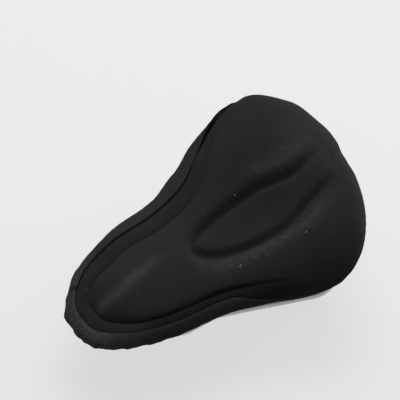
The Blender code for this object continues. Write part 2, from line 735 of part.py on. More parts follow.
def make_rail(name, sign, finish):
    """Round steel rail from the nose bracket, along the clamp run and out to its rear socket."""
    corners = [
        Vector((NOSE_SOCKET_X + SOCKET_DEPTH, sign * NOSE_SOCKET_SPACING / 2.0, NOSE_SOCKET_Z)),
        Vector((NOSE_SOCKET_X - NOSE_RUN_OUT, sign * NOSE_SOCKET_SPACING / 2.0, NOSE_SOCKET_Z)),
        Vector((CLAMP_FRONT, sign * RAIL_SPACING / 2.0, RAIL_RADIUS)),
        Vector((CLAMP_REAR, sign * RAIL_SPACING / 2.0, RAIL_RADIUS)),
        Vector((REAR_SOCKET_X, sign * REAR_SOCKET_Y, RAIL_RADIUS)),
        Vector((REAR_SOCKET_X, sign * REAR_SOCKET_Y, REAR_RAIL_TOP)),
    ]
    path = rounded_path(corners, RAIL_BEND)
    tangents = []
    for index in range(len(path)):
        before = path[max(index - 1, 0)]
        after = path[min(index + 1, len(path) - 1)]
        tangents.append((after - before).normalized())
    middle = len(path) // 2
    down = [None] * len(path)
    down[middle] = Vector((0.0, 0.0, -1.0))
    for order in (range(middle + 1, len(path)), range(middle - 1, -1, -1)):
        previous = middle
        for index in order:
            turn = tangents[previous].rotation_difference(tangents[index])
            down[index] = turn @ down[previous]
            previous = index
    radius = RAIL_RADIUS / math.cos(math.pi / RAIL_SIDES)
    vertices = []
    faces = []
    for point, tangent, low in zip(path, tangents, down):
        side = tangent.cross(low)
        for k in range(RAIL_SIDES):
            angle = 2.0 * math.pi * (k + 0.5) / RAIL_SIDES
            vertices.append(point + (low * math.cos(angle) + side * math.sin(angle)) * radius)
    for index in range(len(path) - 1):
        for k in range(RAIL_SIDES):
            after = (k + 1) % RAIL_SIDES
            a = index * RAIL_SIDES
            b = a + RAIL_SIDES
            faces.append([a + k, a + after, b + after, b + k])
    faces.append(list(range(RAIL_SIDES)))
    faces.append([(len(path) - 1) * RAIL_SIDES + k for k in range(RAIL_SIDES)])
    return add_object(name, mesh_from(vertices, faces), finish)


def make_nose_bracket(finish):
    """Plate under the nose boss with two tubes for the rails' front ends."""
    plate_z = NOSE_BOSS_Z - CLEARANCE - PLATE_THICKNESS / 2.0
    bracket = plate_mesh("nose_bracket", (NOSE_PLATE_X, 0.0, plate_z),
                         (NOSE_PLATE_LENGTH, NOSE_PLATE_WIDTH, PLATE_THICKNESS), finish)
    length = SOCKET_DEPTH + CLEARANCE + SOCKET_WALL
    for side in (1.0, -1.0):
        place = (NOSE_SOCKET_X, side * NOSE_SOCKET_SPACING / 2.0, NOSE_SOCKET_Z)
        tube = turned("nose_tube_%d" % side, ((0.0, 0.0), (SOCKET_RADIUS, 0.0), (SOCKET_RADIUS, length),
                                              (0.0, length)), place, (1.0, 0.0, 0.0), finish)
        combine(bracket, hidden(tube), "UNION")
        post = plate_mesh("nose_post_%d" % side,
                          (NOSE_SOCKET_X + length / 2.0, place[1], (place[2] + SOCKET_RADIUS / 2.0 + plate_z) / 2.0),
                          (length - 2.0 * POST_INSET, SOCKET_RADIUS * 1.1, plate_z - place[2] - SOCKET_RADIUS / 2.0), finish)
        combine(bracket, hidden(post), "UNION")
    for side in (1.0, -1.0):
        place = (NOSE_SOCKET_X, side * NOSE_SOCKET_SPACING / 2.0, NOSE_SOCKET_Z)
        bore = turned("nose_bore_%d" % side, ((0.0, -OVERCUT), (BORE_CUTTER_RADIUS, -OVERCUT),
                                              (BORE_CUTTER_RADIUS, SOCKET_DEPTH + CLEARANCE),
                                              (0.0, SOCKET_DEPTH + CLEARANCE)), place, (1.0, 0.0, 0.0), finish)
        combine(bracket, hidden(bore), "DIFFERENCE")
        drill_plate(bracket, "nose_bracket_hole_%d" % side, NOSE_PLATE_X,
                    side * (NOSE_PLATE_WIDTH / 2.0 - SCREW_EDGE), plate_z, finish)
    return bracket


def drill_plate(plate, name, x, y, z, finish):
    """Clearance hole for a screw."""
    radius = SCREW_RADIUS + CLEARANCE
    hole = turned(name, ((0.0, -PLATE_THICKNESS), (radius, -PLATE_THICKNESS), (radius, PLATE_THICKNESS),
                         (0.0, PLATE_THICKNESS)), (x, y, z), (0.0, 0.0, 1.0), finish)
    combine(plate, hidden(hole), "DIFFERENCE")


def make_rear_bracket(name, sign, finish):
    """Plate under a rear boss with the tube that holds the rail's upright end."""
    plate_z = REAR_BOSS_Z - CLEARANCE - PLATE_THICKNESS / 2.0
    bracket = plate_mesh(name, (PLATE_X, sign * PLATE_Y, plate_z),
                         (PLATE_LENGTH, PLATE_WIDTH, PLATE_THICKNESS), finish)
    top = REAR_BOSS_Z - CLEARANCE
    mouth = REAR_RAIL_TOP - REAR_SOCKET_DEPTH
    place = (REAR_SOCKET_X, sign * REAR_SOCKET_Y, mouth)
    tube = turned(name + "_tube", ((0.0, 0.0), (SOCKET_RADIUS, 0.0), (SOCKET_RADIUS, top - mouth),
                                   (0.0, top - mouth)), place, (0.0, 0.0, 1.0), finish)
    combine(bracket, hidden(tube), "UNION")
    bore = turned(name + "_bore", ((0.0, -OVERCUT), (BORE_CUTTER_RADIUS, -OVERCUT),
                                   (BORE_CUTTER_RADIUS, REAR_SOCKET_DEPTH + CLEARANCE),
                                   (0.0, REAR_SOCKET_DEPTH + CLEARANCE)), place, (0.0, 0.0, 1.0), finish)
    combine(bracket, hidden(bore), "DIFFERENCE")
    for end in (1.0, -1.0):
        drill_plate(bracket, name + "_hole_%d" % end, PLATE_X + end * (PLATE_LENGTH / 2.0 - SCREW_EDGE),
                    sign * PLATE_Y, plate_z, finish)
    return bracket


def make_screws(finish):
    """Domed screws through the brackets into the bosses."""
    head = SCREW_HEAD_DIAMETER / 2.0
    for name, x, y, boss_z in screw_places():
        seat = boss_z - CLEARANCE - PLATE_THICKNESS - CLEARANCE
        turned(name, ((0.0, -SCREW_HEAD_HEIGHT), (head * 0.6, -SCREW_HEAD_HEIGHT), (head, -SCREW_HEAD_HEIGHT * 0.4),
                      (head, 0.0), (SCREW_RADIUS, 0.0), (SCREW_RADIUS, SCREW_LENGTH - SCREW_TIP),
                      (SCREW_RADIUS * 0.4, SCREW_LENGTH), (0.0, SCREW_LENGTH)),
               (x, y, seat), (0.0, 0.0, 1.0), finish)


FINISHES = {
    "knit": ((0.022, 0.021, 0.023), 0.92, 0.0),
    "band": ((0.018, 0.018, 0.020), 0.90, 0.0),
    "elastic": ((0.030, 0.030, 0.032), 0.85, 0.0),
    "vinyl": ((0.015, 0.015, 0.016), 0.55, 0.0),
    "foam": ((0.16, 0.16, 0.17), 0.95, 0.0),
    "shell": ((0.030, 0.030, 0.032), 0.50, 0.0),
    "rail": ((0.72, 0.71, 0.68), 0.28, 1.0),
    "bracket": ((0.045, 0.045, 0.047), 0.45, 0.0),
    "screw": ((0.60, 0.60, 0.62), 0.35, 1.0),
}


def main():
    """Build every piece."""
    clear_scene()
    make_cover_top_pad(FINISHES["knit"])
    make_cover_side_skirt(FINISHES["band"])
    make_hem_elastic(FINISHES["elastic"])
    make_saddle_skin(FINISHES["vinyl"])
    make_saddle_padding(FINISHES["foam"])
    make_saddle_shell(FINISHES["shell"])
    make_rail("rail_left", 1.0, FINISHES["rail"])
    make_rail("rail_right", -1.0, FINISHES["rail"])
    make_nose_bracket(FINISHES["bracket"])
    make_rear_bracket("rear_bracket_left", 1.0, FINISHES["bracket"])
    make_rear_bracket("rear_bracket_right", -1.0, FINISHES["bracket"])
    make_screws(FINISHES["screw"])


main()
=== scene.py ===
import math

import bmesh
import bpy
import numpy as np
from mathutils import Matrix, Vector


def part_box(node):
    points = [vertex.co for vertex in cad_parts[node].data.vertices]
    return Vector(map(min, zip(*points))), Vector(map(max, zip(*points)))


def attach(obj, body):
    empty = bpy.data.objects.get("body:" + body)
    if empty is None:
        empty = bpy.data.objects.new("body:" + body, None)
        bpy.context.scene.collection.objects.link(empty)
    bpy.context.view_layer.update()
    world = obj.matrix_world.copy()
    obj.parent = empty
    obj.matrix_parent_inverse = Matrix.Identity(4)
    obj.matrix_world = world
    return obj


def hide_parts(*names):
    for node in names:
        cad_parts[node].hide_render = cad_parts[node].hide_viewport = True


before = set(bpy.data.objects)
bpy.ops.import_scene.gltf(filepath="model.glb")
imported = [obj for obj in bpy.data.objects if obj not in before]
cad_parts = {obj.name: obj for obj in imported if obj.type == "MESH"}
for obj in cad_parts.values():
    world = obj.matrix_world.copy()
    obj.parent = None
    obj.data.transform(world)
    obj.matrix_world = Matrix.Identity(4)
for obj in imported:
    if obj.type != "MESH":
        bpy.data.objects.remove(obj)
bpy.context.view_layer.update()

bl_info = {
    "name": "Covered bike saddle",
    "version": (1, 0, 0),
    "blender": (4, 5, 0),
    "location": "View3D > Sidebar > Saddle",
    "description": "Bike saddle in a padded knit cover, with its stage",
    "category": "Object",
}

# The solids give the cover's reach, and the seam's stations are shares of it, as in the solids
PAD_LOW, PAD_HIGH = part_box("cover_top_pad")
REAR_STATION = 1.005
NOSE_REACH = PAD_HIGH.x
SEAM_LENGTH = (PAD_HIGH.x - PAD_LOW.x) / REAR_STATION
WING_WIDTH = PAD_HIGH.y - PAD_LOW.y
NOSE_WIDTH = 0.101
NOSE_SEAM_HEIGHT = 0.069
WING_SEAM_HEIGHT = 0.121

# Stations of the seam: share of the length behind the nose tip, share of half the width
NOSE_OUTLINE = ((0.0, 0.0), (0.011, 0.325), (0.050, 0.585), (0.114, 0.80), (0.240, 1.0), (0.410, 1.09))
WING_OUTLINE = ((0.550, 0.690), (0.660, 0.875), (0.776, 1.0), (0.880, 0.905), (0.960, 0.630),
                (1.003, 0.310), (REAR_STATION, 0.12), (1.0, 0.0))

# Share of the length behind the nose tip, share of the seam's rise to the wings
HEIGHT_LINE = ((0.0, 0.0), (0.10, 0.17), (0.24, 0.23), (0.41, 0.26), (0.55, 0.31), (0.66, 0.425),
               (0.76, 0.615), (0.86, 0.835), (0.94, 0.96), (1.0, 1.0))

# Side of the saddle below the seam: share of the bulge, share of the way down
SIDE_SECTION = ((0.0, 0.0), (0.30, 0.05), (0.62, 0.16), (0.92, 0.32), (1.0, 0.52), (0.86, 0.80), (0.35, 1.0))

# The panel's spokes run from a middle line out to the seam
SPINE_NOSE = NOSE_REACH - 0.55 * NOSE_WIDTH
SPINE_REAR = NOSE_REACH - SEAM_LENGTH + 0.155 * WING_WIDTH
COLUMNS = 480

# Sizes of the panel, the saddle under it and the skirt; a pair is the nose's size and the wings'
FLANGE_WIDTH = (0.012, 0.005)
FLANGE_FALL = (0.0, 0.006)
FLANGE_THICKNESS = 0.0025
FLANGE_CROWN = 0.0007
BLOCK_CREASE = 0.0012
SEAM_CREASE = 0.0009
BLOCK_CROWN = 0.0085
SADDLE_CROWN = 0.004
SADDLE_SIDE = 0.019
SKIRT_BULGE = (0.0085, 0.0035)
SKIRT_THICKNESS = 0.0016
CLEARANCE = 0.0003
HEM_INNER = 0.0134
HEM_DROP = 0.006
CLOTH_HEIGHT = 0.105  # all the way round a cut through the skirt, for its knit

# Powers that shape the block's edge, crown and cuts; a pair is the nose's and the wings'
EDGE_SQUARENESS = (11.0, 4.0)
EDGE_ROUNDNESS = (0.62, 1.0)
CROWN_FULLNESS = (1.6, 2.2)
DOME_SQUARENESS = 5.0
CUT_REACH = 8
DROP_SHARPNESS = 2.6

# Spans along the saddle, as shares of the length behind the nose tip
WAIST = (0.45, 0.80)
NEAR_WING = (0.42, 0.66)
NEAR_DOME = (0.50, 0.70)
FAR_WING = (0.80, 0.95)
DOME_START = (0.55, 0.80)

# The cover reaches down over the wings' sides; its swell and lip start at small drops
WING_SIDE_DROP = 0.012
WING_LIP = 0.0006
SWELL_START = (0.0, 0.003)
LIP_START = (0.0, 0.006)

# The cover is pulled a little askew, towards the rider's left, and its far lobe is fuller
FLANGE_SIDE_SHIFT = 0.003
FLANGE_SHIFT_SPANS = ((0.010, 0.040), (0.150, 0.190))
ASKEW_RIM = 0.003
ASKEW_MIDDLE = 0.0055
ASKEW_TAIL = 0.0065
ASKEW_START = (0.0, 0.030)
ASKEW_RIM_END = (0.130, 0.180)
ASKEW_WAIST = (-0.060, -0.010)
ASKEW_REAR = (-0.010, 0.090)
FAR_LOBE_REAR = 0.013
FAR_LOBE_SIDE = 0.010
FAR_LOBE_BACK = (0.030, 0.095)
FAR_LOBE_OUT = (0.0, 0.060)
REAR_FILL = 0.0068
REAR_FILL_PLACE = -0.009
REAR_FILL_WIDTH = 0.020
REAR_FILL_BACK = (0.070, 0.125)

# The channel's grooves, and the valley between the wings
TAIL_HALF_WIDTH = 0.015
TAIL_TAPER = 0.025
GROOVE_SHARPNESS = 2.2
GROOVE_END = (0.030, 0.072)
FAR_GROOVE_EXTRA = 0.35
FAR_GROOVE = (0.004, 0.014)
VALLEY_WIDTH = 0.037
VALLEY_SPAN = (-0.035, 0.065)
VALLEY_REAR = (0.090, 0.128)
VALLEY_REAR_LOSS = 0.65


def eased(value, span):
    """Ease from 0 at the start of a span to 1 at its end."""
    share = np.clip((value - span[0]) / (span[1] - span[0]), 0.0, 1.0)
    return share * share * (3.0 - 2.0 * share)


def within(value, rise, fall):
    """1 between two spans, easing in over the first and out over the second."""
    return eased(value, rise) * (1.0 - eased(value, fall))


def hump(value, centre, width):
    """1 at the centre, fading out on both sides over about the width."""
    return np.exp(-((value - centre) / width) ** 2)


def mixed(pair, share):
    """Mix of a pair: its first value at share 0, its second at share 1."""
    return pair[0] * (1.0 - share) + pair[1] * share


def smooth_curve(points, per_span):
    """Smooth curve through the points."""
    p = np.asarray(points, float)
    p = np.vstack([2.0 * p[0] - p[1], p, 2.0 * p[-1] - p[-2]])
    t = (np.arange(per_span) / per_span)[:, None]
    spans = []
    for k in range(1, len(p) - 2):
        spans.append(0.5 * (2.0 * p[k] + (p[k + 1] - p[k - 1]) * t
                            + (2.0 * p[k - 1] - 5.0 * p[k] + 4.0 * p[k + 1] - p[k + 2]) * t ** 2
                            + (3.0 * p[k] - p[k - 1] - 3.0 * p[k + 1] + p[k + 2]) * t ** 3))
    return np.vstack(spans + [p[-2:-1]])


def seam_outline():
    """Points of the seam right round, evenly spaced, how far along each one is, and the whole way round."""
    stations = [(NOSE_REACH - a * SEAM_LENGTH, w * NOSE_WIDTH / 2.0) for a, w in NOSE_OUTLINE]
    stations += [(NOSE_REACH - a * SEAM_LENGTH, w * WING_WIDTH / 2.0) for a, w in WING_OUTLINE]
    mirrored = [(stations[1][0], -stations[1][1])] + stations + [(stations[-2][0], -stations[-2][1])]
    per_span = 60
    half = smooth_curve(mirrored, per_span)[per_span:-per_span]
    around = np.vstack([half, half[-2:0:-1] * (1.0, -1.0), half[:1]])
    steps = np.hypot(*np.diff(around, axis=0).T)
    along = np.concatenate([[0.0], np.cumsum(steps)])
    wanted = np.linspace(0.0, along[-1], COLUMNS, endpoint=False)
    points = np.column_stack([np.interp(wanted, along, around[:, k]) for k in range(2)])
    return points, wanted, along[-1]


SEAM, SEAM_ALONG, SEAM_ROUND = seam_outline()
SEAM_X, SEAM_Y = SEAM.T
BEHIND_NOSE = NOSE_REACH - SEAM_X
HEIGHTS = smooth_curve(HEIGHT_LINE, 40)
SECTION = smooth_curve(SIDE_SECTION, 5)
SPOKE_START = np.column_stack([np.clip(SEAM_X, SPINE_REAR, SPINE_NOSE), np.zeros(COLUMNS)])
SPOKES = SEAM - SPOKE_START
REACH = np.hypot(*SPOKES.T)
OUTWARD = SPOKES / REACH[:, None]


def length_share(x):
    """Share of the length behind the nose tip."""
    return (NOSE_REACH - x) / SEAM_LENGTH


def seam_height(x):
    """Height of the seam above the ground."""
    rise = np.interp(np.clip(length_share(x), 0.0, 1.0), HEIGHTS[:, 0], HEIGHTS[:, 1])
    return NOSE_SEAM_HEIGHT + rise * (WING_SEAM_HEIGHT - NOSE_SEAM_HEIGHT)


def blend(pair, x):
    """Mix a size between its value at the nose and at the wings."""
    return mixed(pair, eased(length_share(x), WAIST))


def by_side(x, y, near, far):
    """Ease along the saddle, over one span on the near side and another on the far side."""
    share = length_share(x)
    return np.where(y < 0.0, eased(share, far), eased(share, near))


def wing_share(x):
    """0 over the nose and 1 over the wings."""
    return eased(length_share(x), NEAR_WING)


def waves(along, cycles, seed):
    """Uneven ripple round the seam, from -1 to 1, that closes on itself."""
    turn = 2.0 * math.pi * along / SEAM_ROUND
    drift = 0.9 * np.sin(3.0 * turn + seed) + 0.7 * np.sin(7.0 * turn + 2.1 * seed)
    drift += 0.5 * np.sin(11.0 * turn + seed)
    level = 0.75 + 0.25 * np.sin(5.0 * turn + 1.7 * seed)
    return level * np.sin(cycles * turn + drift)


def groove_distance(x, y, size):
    """Distance from the middle of the channel's groove, less than 0 inside the leaf."""
    length = size.channel_front - size.channel_middle
    along = (x - size.channel_middle) / length
    across = np.abs(y) / size.channel_half_width
    radius = np.maximum(np.hypot(along, across), 0.001)
    slope = np.hypot(along / (length * radius), across / (size.channel_half_width * radius))
    narrowing = hump(x, size.channel_middle, TAIL_TAPER)
    tail = TAIL_HALF_WIDTH + (size.channel_half_width - TAIL_HALF_WIDTH) * narrowing
    return np.where(x > size.channel_middle, (radius - 1.0) / slope, np.abs(y) - tail)


def groove_fade(x, size):
    """1 along the channel, 0 where its grooves have run out."""
    return 1.0 - eased(size.channel_middle - x, GROOVE_END)


def groove_cut(x, y, size):
    """Depth of the soft groove round the channel, deeper on the far side."""
    groove = np.exp(-np.abs(groove_distance(x, y, size) / size.groove_width) ** GROOVE_SHARPNESS)
    deeper = 1.0 + FAR_GROOVE_EXTRA * eased(-y, FAR_GROOVE)
    return groove * groove_fade(x, size) * size.groove_depth * deeper


def valley_cut(x, y, size):
    """Depth of the valley between the wings."""
    valley = hump(y, 0.0, VALLEY_WIDTH) * eased(-x, VALLEY_SPAN) * size.valley_depth
    return valley * (1.0 - VALLEY_REAR_LOSS * eased(-x, VALLEY_REAR))


def seam_drop(x, y):
    """How far the wings reach down their sides before the seam; the far side starts further back."""
    return WING_SIDE_DROP * by_side(x, y, NEAR_WING, FAR_WING)


def side_reach(x, depth):
    """How far the side of the saddle stands out at a depth below the seam's first place."""
    return blend(SKIRT_BULGE, x) * np.interp(depth / SADDLE_SIDE, SECTION[:, 1], SECTION[:, 0])


def seam_swell(x, y):
    """How far the seam stands out where the wings reach down over the side."""
    drop = seam_drop(x, y)
    lip = WING_LIP * wing_share(x) * eased(drop, LIP_START)
    return side_reach(x, drop) * eased(drop, SWELL_START) + lip


def seam_line(spot):
    """Height of the stitched seam as it lies."""
    return seam_height(spot[0]) - seam_drop(spot[0], spot[1])


def tail_shift(x):
    """How far the rear of the cover lies askew, beyond its middle."""
    return ASKEW_TAIL * eased(-x, ASKEW_REAR)


def pulled(plan, share):
    """Plan of the panel as it lies, from its plan on the symmetric saddle."""
    x, y = plan[:, 0], plan[:, 1]
    start = ASKEW_RIM * eased(NOSE_REACH - x, ASKEW_START)
    rim = start * (1.0 - eased(NOSE_REACH - x, ASKEW_RIM_END))
    middle = start + (ASKEW_MIDDLE - ASKEW_RIM) * eased(-x, ASKEW_WAIST) + tail_shift(x)
    sideways = middle + (rim - middle) * share ** 3
    lobe = eased(-x, FAR_LOBE_BACK) * eased(-y, FAR_LOBE_OUT)
    fill = eased(-x, REAR_FILL_BACK) * hump(y, REAR_FILL_PLACE, REAR_FILL_WIDTH)
    rearward = FAR_LOBE_REAR * lobe + REAR_FILL * fill
    return np.column_stack([x - rearward * share ** 2, y + sideways - FAR_LOBE_SIDE * lobe * share ** 2])


SEAM_DROPS = seam_drop(SEAM_X, SEAM_Y)
SEAM_SWELLS = seam_swell(SEAM_X, SEAM_Y)
SEAM_LYING = pulled(SEAM, 1.0)


def flange_height(x, y, out):
    """Top of the flange, from the seam (out is 0) to the block (out is 1)."""
    dips = FLANGE_CROWN * np.sin(math.pi * out) - BLOCK_CREASE * hump(out, 1.0, 0.16)
    dips -= SEAM_CREASE * hump(out, 0.0, 0.10)
    level = seam_height(x) + blend(FLANGE_FALL, x) * out
    return level + dips * (1.0 - 0.75 * wing_share(x)) - seam_drop(x, y) * (1.0 - out) ** DROP_SHARPNESS


def pad_height(x, y, share, edge, size):
    """Top of the moulded panel at a share of the way from the middle line out to the seam."""
    base = seam_height(x)
    fall = blend(FLANGE_FALL, x)
    wing = wing_share(x)
    crown = BLOCK_CROWN + size.lobe_crown * wing
    valley = valley_cut(x, y, size)
    inner = np.clip(share / edge, 0.0, 1.0)
    rounded = size.block_rise * (1.0 - inner ** mixed(EDGE_SQUARENESS, wing)) ** mixed(EDGE_ROUNDNESS, wing)
    block = base + fall + rounded + crown * (1.0 - inner ** mixed(CROWN_FULLNESS, wing))
    block -= (valley + groove_cut(x, y, size)) * (1.0 - inner ** CUT_REACH)
    out = np.clip((1.0 - share) / (1.0 - edge), 0.0, 1.0)
    stepped = np.where(share >= edge, flange_height(x, y, out), block)

    # Over the wings the block runs down to the seam in one dome
    side = seam_drop(x, y)
    rise = side + fall + size.block_rise
    dome = base - side + rise * (1.0 - np.minimum(share, 1.0) ** DOME_SQUARENESS) ** 0.5
    dome = dome + crown * (1.0 - share ** CROWN_FULLNESS[1]) - valley * (1.0 - share ** CUT_REACH)
    return mixed((stepped, dome), by_side(x, y, NEAR_DOME, FAR_WING) * eased(share, DOME_START))


def link_mesh(name, vertices, faces):
    """New object from points and faces, welded, with its faces out."""
    data = bpy.data.meshes.new(name)
    data.from_pydata([tuple(v) for v in vertices], [], faces)
    work = bmesh.new()
    work.from_mesh(data)
    bmesh.ops.remove_doubles(work, verts=work.verts, dist=0.000002)
    bmesh.ops.dissolve_degenerate(work, edges=work.edges, dist=0.000001)
    bmesh.ops.recalc_face_normals(work, faces=work.faces)
    work.to_mesh(data)
    work.free()
    data.shade_smooth()
    item = bpy.data.objects.new(name, data)
    bpy.context.scene.collection.objects.link(item)
    return item


def band_faces(rows, closed):
    """Quads between rows of COLUMNS points each."""
    faces = []
    count = rows if closed else rows - 1
    for r in range(count):
        low = r * COLUMNS
        high = ((r + 1) % rows) * COLUMNS
        for c in range(COLUMNS):
            after = (c + 1) % COLUMNS
            faces.append((low + c, low + after, high + after, high + c))
    return faces


def point_values(item, name, values):
    """Store one number for each point of a piece."""
    layer = item.data.attributes.new(name, "FLOAT", "POINT")
    layer.data.foreach_set("value", np.asarray(values, np.float32))


def coordinates(item):
    """Points of a piece as an array."""
    places = np.zeros(len(item.data.vertices) * 3)
    item.data.vertices.foreach_get("co", places)
    return places.reshape(-1, 3)


def deselect():
    """Nothing selected."""
    bpy.ops.object.select_all(action="DESELECT")


# Materials


PAD_LOOPS = 1500.0
PAD_FUZZ = 0.04
SKIRT_LOOPS = 1300.0
SKIRT_FUZZ = 0.012
SPECK_COLOUR = (0.30, 0.29, 0.28)
FIBRE_COLOURS = ((0.12, 0.12, 0.12), (0.42, 0.41, 0.40))


def scaled(colour, factor):
    """Colour made lighter or darker."""
    return tuple(c * factor for c in colour)


def node_group(name, inputs, outputs):
    """Empty shader group with its named sockets."""
    group = bpy.data.node_groups.new(name, "ShaderNodeTree")
    for label, kind, value in inputs:
        socket = group.interface.new_socket(name=label, in_out="INPUT", socket_type=kind)
        if value is not None:
            socket.default_value = value
    for label in outputs:
        group.interface.new_socket(name=label, in_out="OUTPUT", socket_type="NodeSocketFloat")
    return group, group.nodes.new("NodeGroupInput"), group.nodes.new("NodeGroupOutput")


def add_math(tree, operation, first, second=None, clamp=False):
    """Math node fed by sockets or numbers."""
    node = tree.nodes.new("ShaderNodeMath")
    node.operation = operation
    node.use_clamp = clamp
    for index, value in enumerate((first, second)):
        if value is None:
            continue
        if isinstance(value, (int, float)):
            node.inputs[index].default_value = value
        else:
            tree.links.new(value, node.inputs[index])
    return node.outputs[0]


def add_noise(tree, place, scale, detail=2.0, roughness=0.5):
    """Noise at a place, as one number."""
    node = tree.nodes.new("ShaderNodeTexNoise")
    node.inputs["Scale"].default_value = scale
    node.inputs["Detail"].default_value = detail
    node.inputs["Roughness"].default_value = roughness
    tree.links.new(place, node.inputs["Vector"])
    return node.outputs["Fac"]


def add_waves(tree, place, scale, distortion):
    """Wavy bands at a place, as one number."""
    node = tree.nodes.new("ShaderNodeTexWave")
    node.inputs["Scale"].default_value = scale
    node.inputs["Distortion"].default_value = distortion
    tree.links.new(place, node.inputs["Vector"])
    return node.outputs["Fac"]


def stored_value(tree, name):
    """Number stored for each point of the piece."""
    node = tree.nodes.new("ShaderNodeAttribute")
    node.attribute_name = name
    return node.outputs["Fac"]


def knit_group():
    """Knit: columns of V-shaped loops across two pattern coordinates in metres."""
    found = bpy.data.node_groups.get("knit")
    if found:
        return found
    sockets = [(label, "NodeSocketFloat", value) for label, value in
               (("Across", 0.0), ("Along", 0.0), ("Loops per metre", 1600.0))]
    tree, inputs, outputs = node_group("knit", sockets, ("Height", "Gap"))
    columns = add_math(tree, "MULTIPLY", inputs.outputs["Across"], inputs.outputs["Loops per metre"])
    rows = add_math(tree, "MULTIPLY", inputs.outputs["Along"], inputs.outputs["Loops per metre"])
    leg = add_math(tree, "PINGPONG", columns, 0.5)
    leg = add_math(tree, "MULTIPLY", leg, 2.0)
    ridge = add_math(tree, "SINE", add_math(tree, "MULTIPLY", leg, math.pi))
    lean = add_math(tree, "ADD", rows, add_math(tree, "MULTIPLY", leg, 0.6))
    loop = add_math(tree, "SINE", add_math(tree, "MULTIPLY", lean, 2.0 * math.pi))
    loop = add_math(tree, "ADD", add_math(tree, "MULTIPLY", loop, 0.25), 0.5)
    height = add_math(tree, "ADD", add_math(tree, "MULTIPLY", ridge, 0.55), loop)
    gap = add_math(tree, "SUBTRACT", 1.0, ridge, clamp=True)
    tree.links.new(height, outputs.inputs["Height"])
    tree.links.new(gap, outputs.inputs["Gap"])
    return tree


def lint_group():
    """Lint: fine pale specks and pilled clumps where the mask is high."""
    found = bpy.data.node_groups.get("lint")
    if found:
        return found
    sockets = (("Place", "NodeSocketVector", None), ("Mask", "NodeSocketFloat", 0.3))
    tree, inputs, outputs = node_group("lint", sockets, ("Specks", "Clumps"))
    place = inputs.outputs["Place"]
    mask = inputs.outputs["Mask"]
    wanted = add_math(tree, "SUBTRACT", 0.80, add_math(tree, "MULTIPLY", mask, 0.20))
    over = add_math(tree, "SUBTRACT", add_noise(tree, place, 1500.0, 3.0, 0.7), wanted)
    specks = add_math(tree, "MULTIPLY", over, 14.0, clamp=True)
    soft = add_math(tree, "SUBTRACT", add_noise(tree, place, 170.0, 4.0), 0.42)
    clumps = add_math(tree, "MULTIPLY", add_math(tree, "MULTIPLY", soft, 3.5, clamp=True), mask)
    tree.links.new(specks, outputs.inputs["Specks"])
    tree.links.new(clumps, outputs.inputs["Clumps"])
    return tree


def grain_group():
    """Grain: fine pebble relief and cloudy wear, for vinyl, plastic, steel and foam."""
    found = bpy.data.node_groups.get("grain")
    if found:
        return found
    sockets = (("Place", "NodeSocketVector", None), ("Pebbles per metre", "NodeSocketFloat", 900.0))
    tree, inputs, outputs = node_group("grain", sockets, ("Height", "Wear"))
    pebbles = tree.nodes.new("ShaderNodeTexVoronoi")
    pebbles.feature = "SMOOTH_F1"
    tree.links.new(inputs.outputs["Place"], pebbles.inputs["Vector"])
    tree.links.new(inputs.outputs["Pebbles per metre"], pebbles.inputs["Scale"])
    tree.links.new(pebbles.outputs["Distance"], outputs.inputs["Height"])
    tree.links.new(add_noise(tree, inputs.outputs["Place"], 45.0, 6.0), outputs.inputs["Wear"])
    return tree


def new_material(name, colour, roughness, metallic=0.0):
    """Principled material with its tree, shader and object coordinates."""
    made = bpy.data.materials.new(name)
    made.use_nodes = True
    tree = made.node_tree
    shader = tree.nodes["Principled BSDF"]
    shader.inputs["Base Color"].default_value = (*colour, 1.0)
    shader.inputs["Roughness"].default_value = roughness
    shader.inputs["Metallic"].default_value = metallic
    made.diffuse_color = (*colour, 1.0)
    place = tree.nodes.new("ShaderNodeTexCoord").outputs["Object"]
    return made, tree, shader, place


def use_group(tree, group, **values):
    """Place a shader group and feed its inputs."""
    node = tree.nodes.new("ShaderNodeGroup")
    node.node_tree = group
    for label, value in values.items():
        socket = node.inputs[label.replace("_", " ")]
        if isinstance(value, (int, float)):
            socket.default_value = value
        else:
            tree.links.new(value, socket)
    return node


def mix_colours(tree, share, first, second):
    """Mix of two colours, each a socket or a tuple."""
    node = tree.nodes.new("ShaderNodeMix")
    node.data_type = "RGBA"
    tree.links.new(share, node.inputs["Factor"])
    for socket, value in ((node.inputs[6], first), (node.inputs[7], second)):
        if isinstance(value, tuple):
            socket.default_value = (*value, 1.0)
        else:
            tree.links.new(value, socket)
    return node.outputs[2]


def mottle(tree, shader, share, colour, first, second):
    """Base colour that varies between two strengths of a colour."""
    tone = mix_colours(tree, share, scaled(colour, first), scaled(colour, second))
    tree.links.new(tone, shader.inputs["Base Color"])


def add_bump(tree, shader, height, distance, strength, under=None):
    """Bump node on the shader's normal."""
    node = tree.nodes.new("ShaderNodeBump")
    node.inputs["Distance"].default_value = distance
    node.inputs["Strength"].default_value = strength
    tree.links.new(height, node.inputs["Height"])
    if under is not None:
        tree.links.new(under, node.inputs["Normal"])
    tree.links.new(node.outputs["Normal"], shader.inputs["Normal"])
    return node.outputs["Normal"]


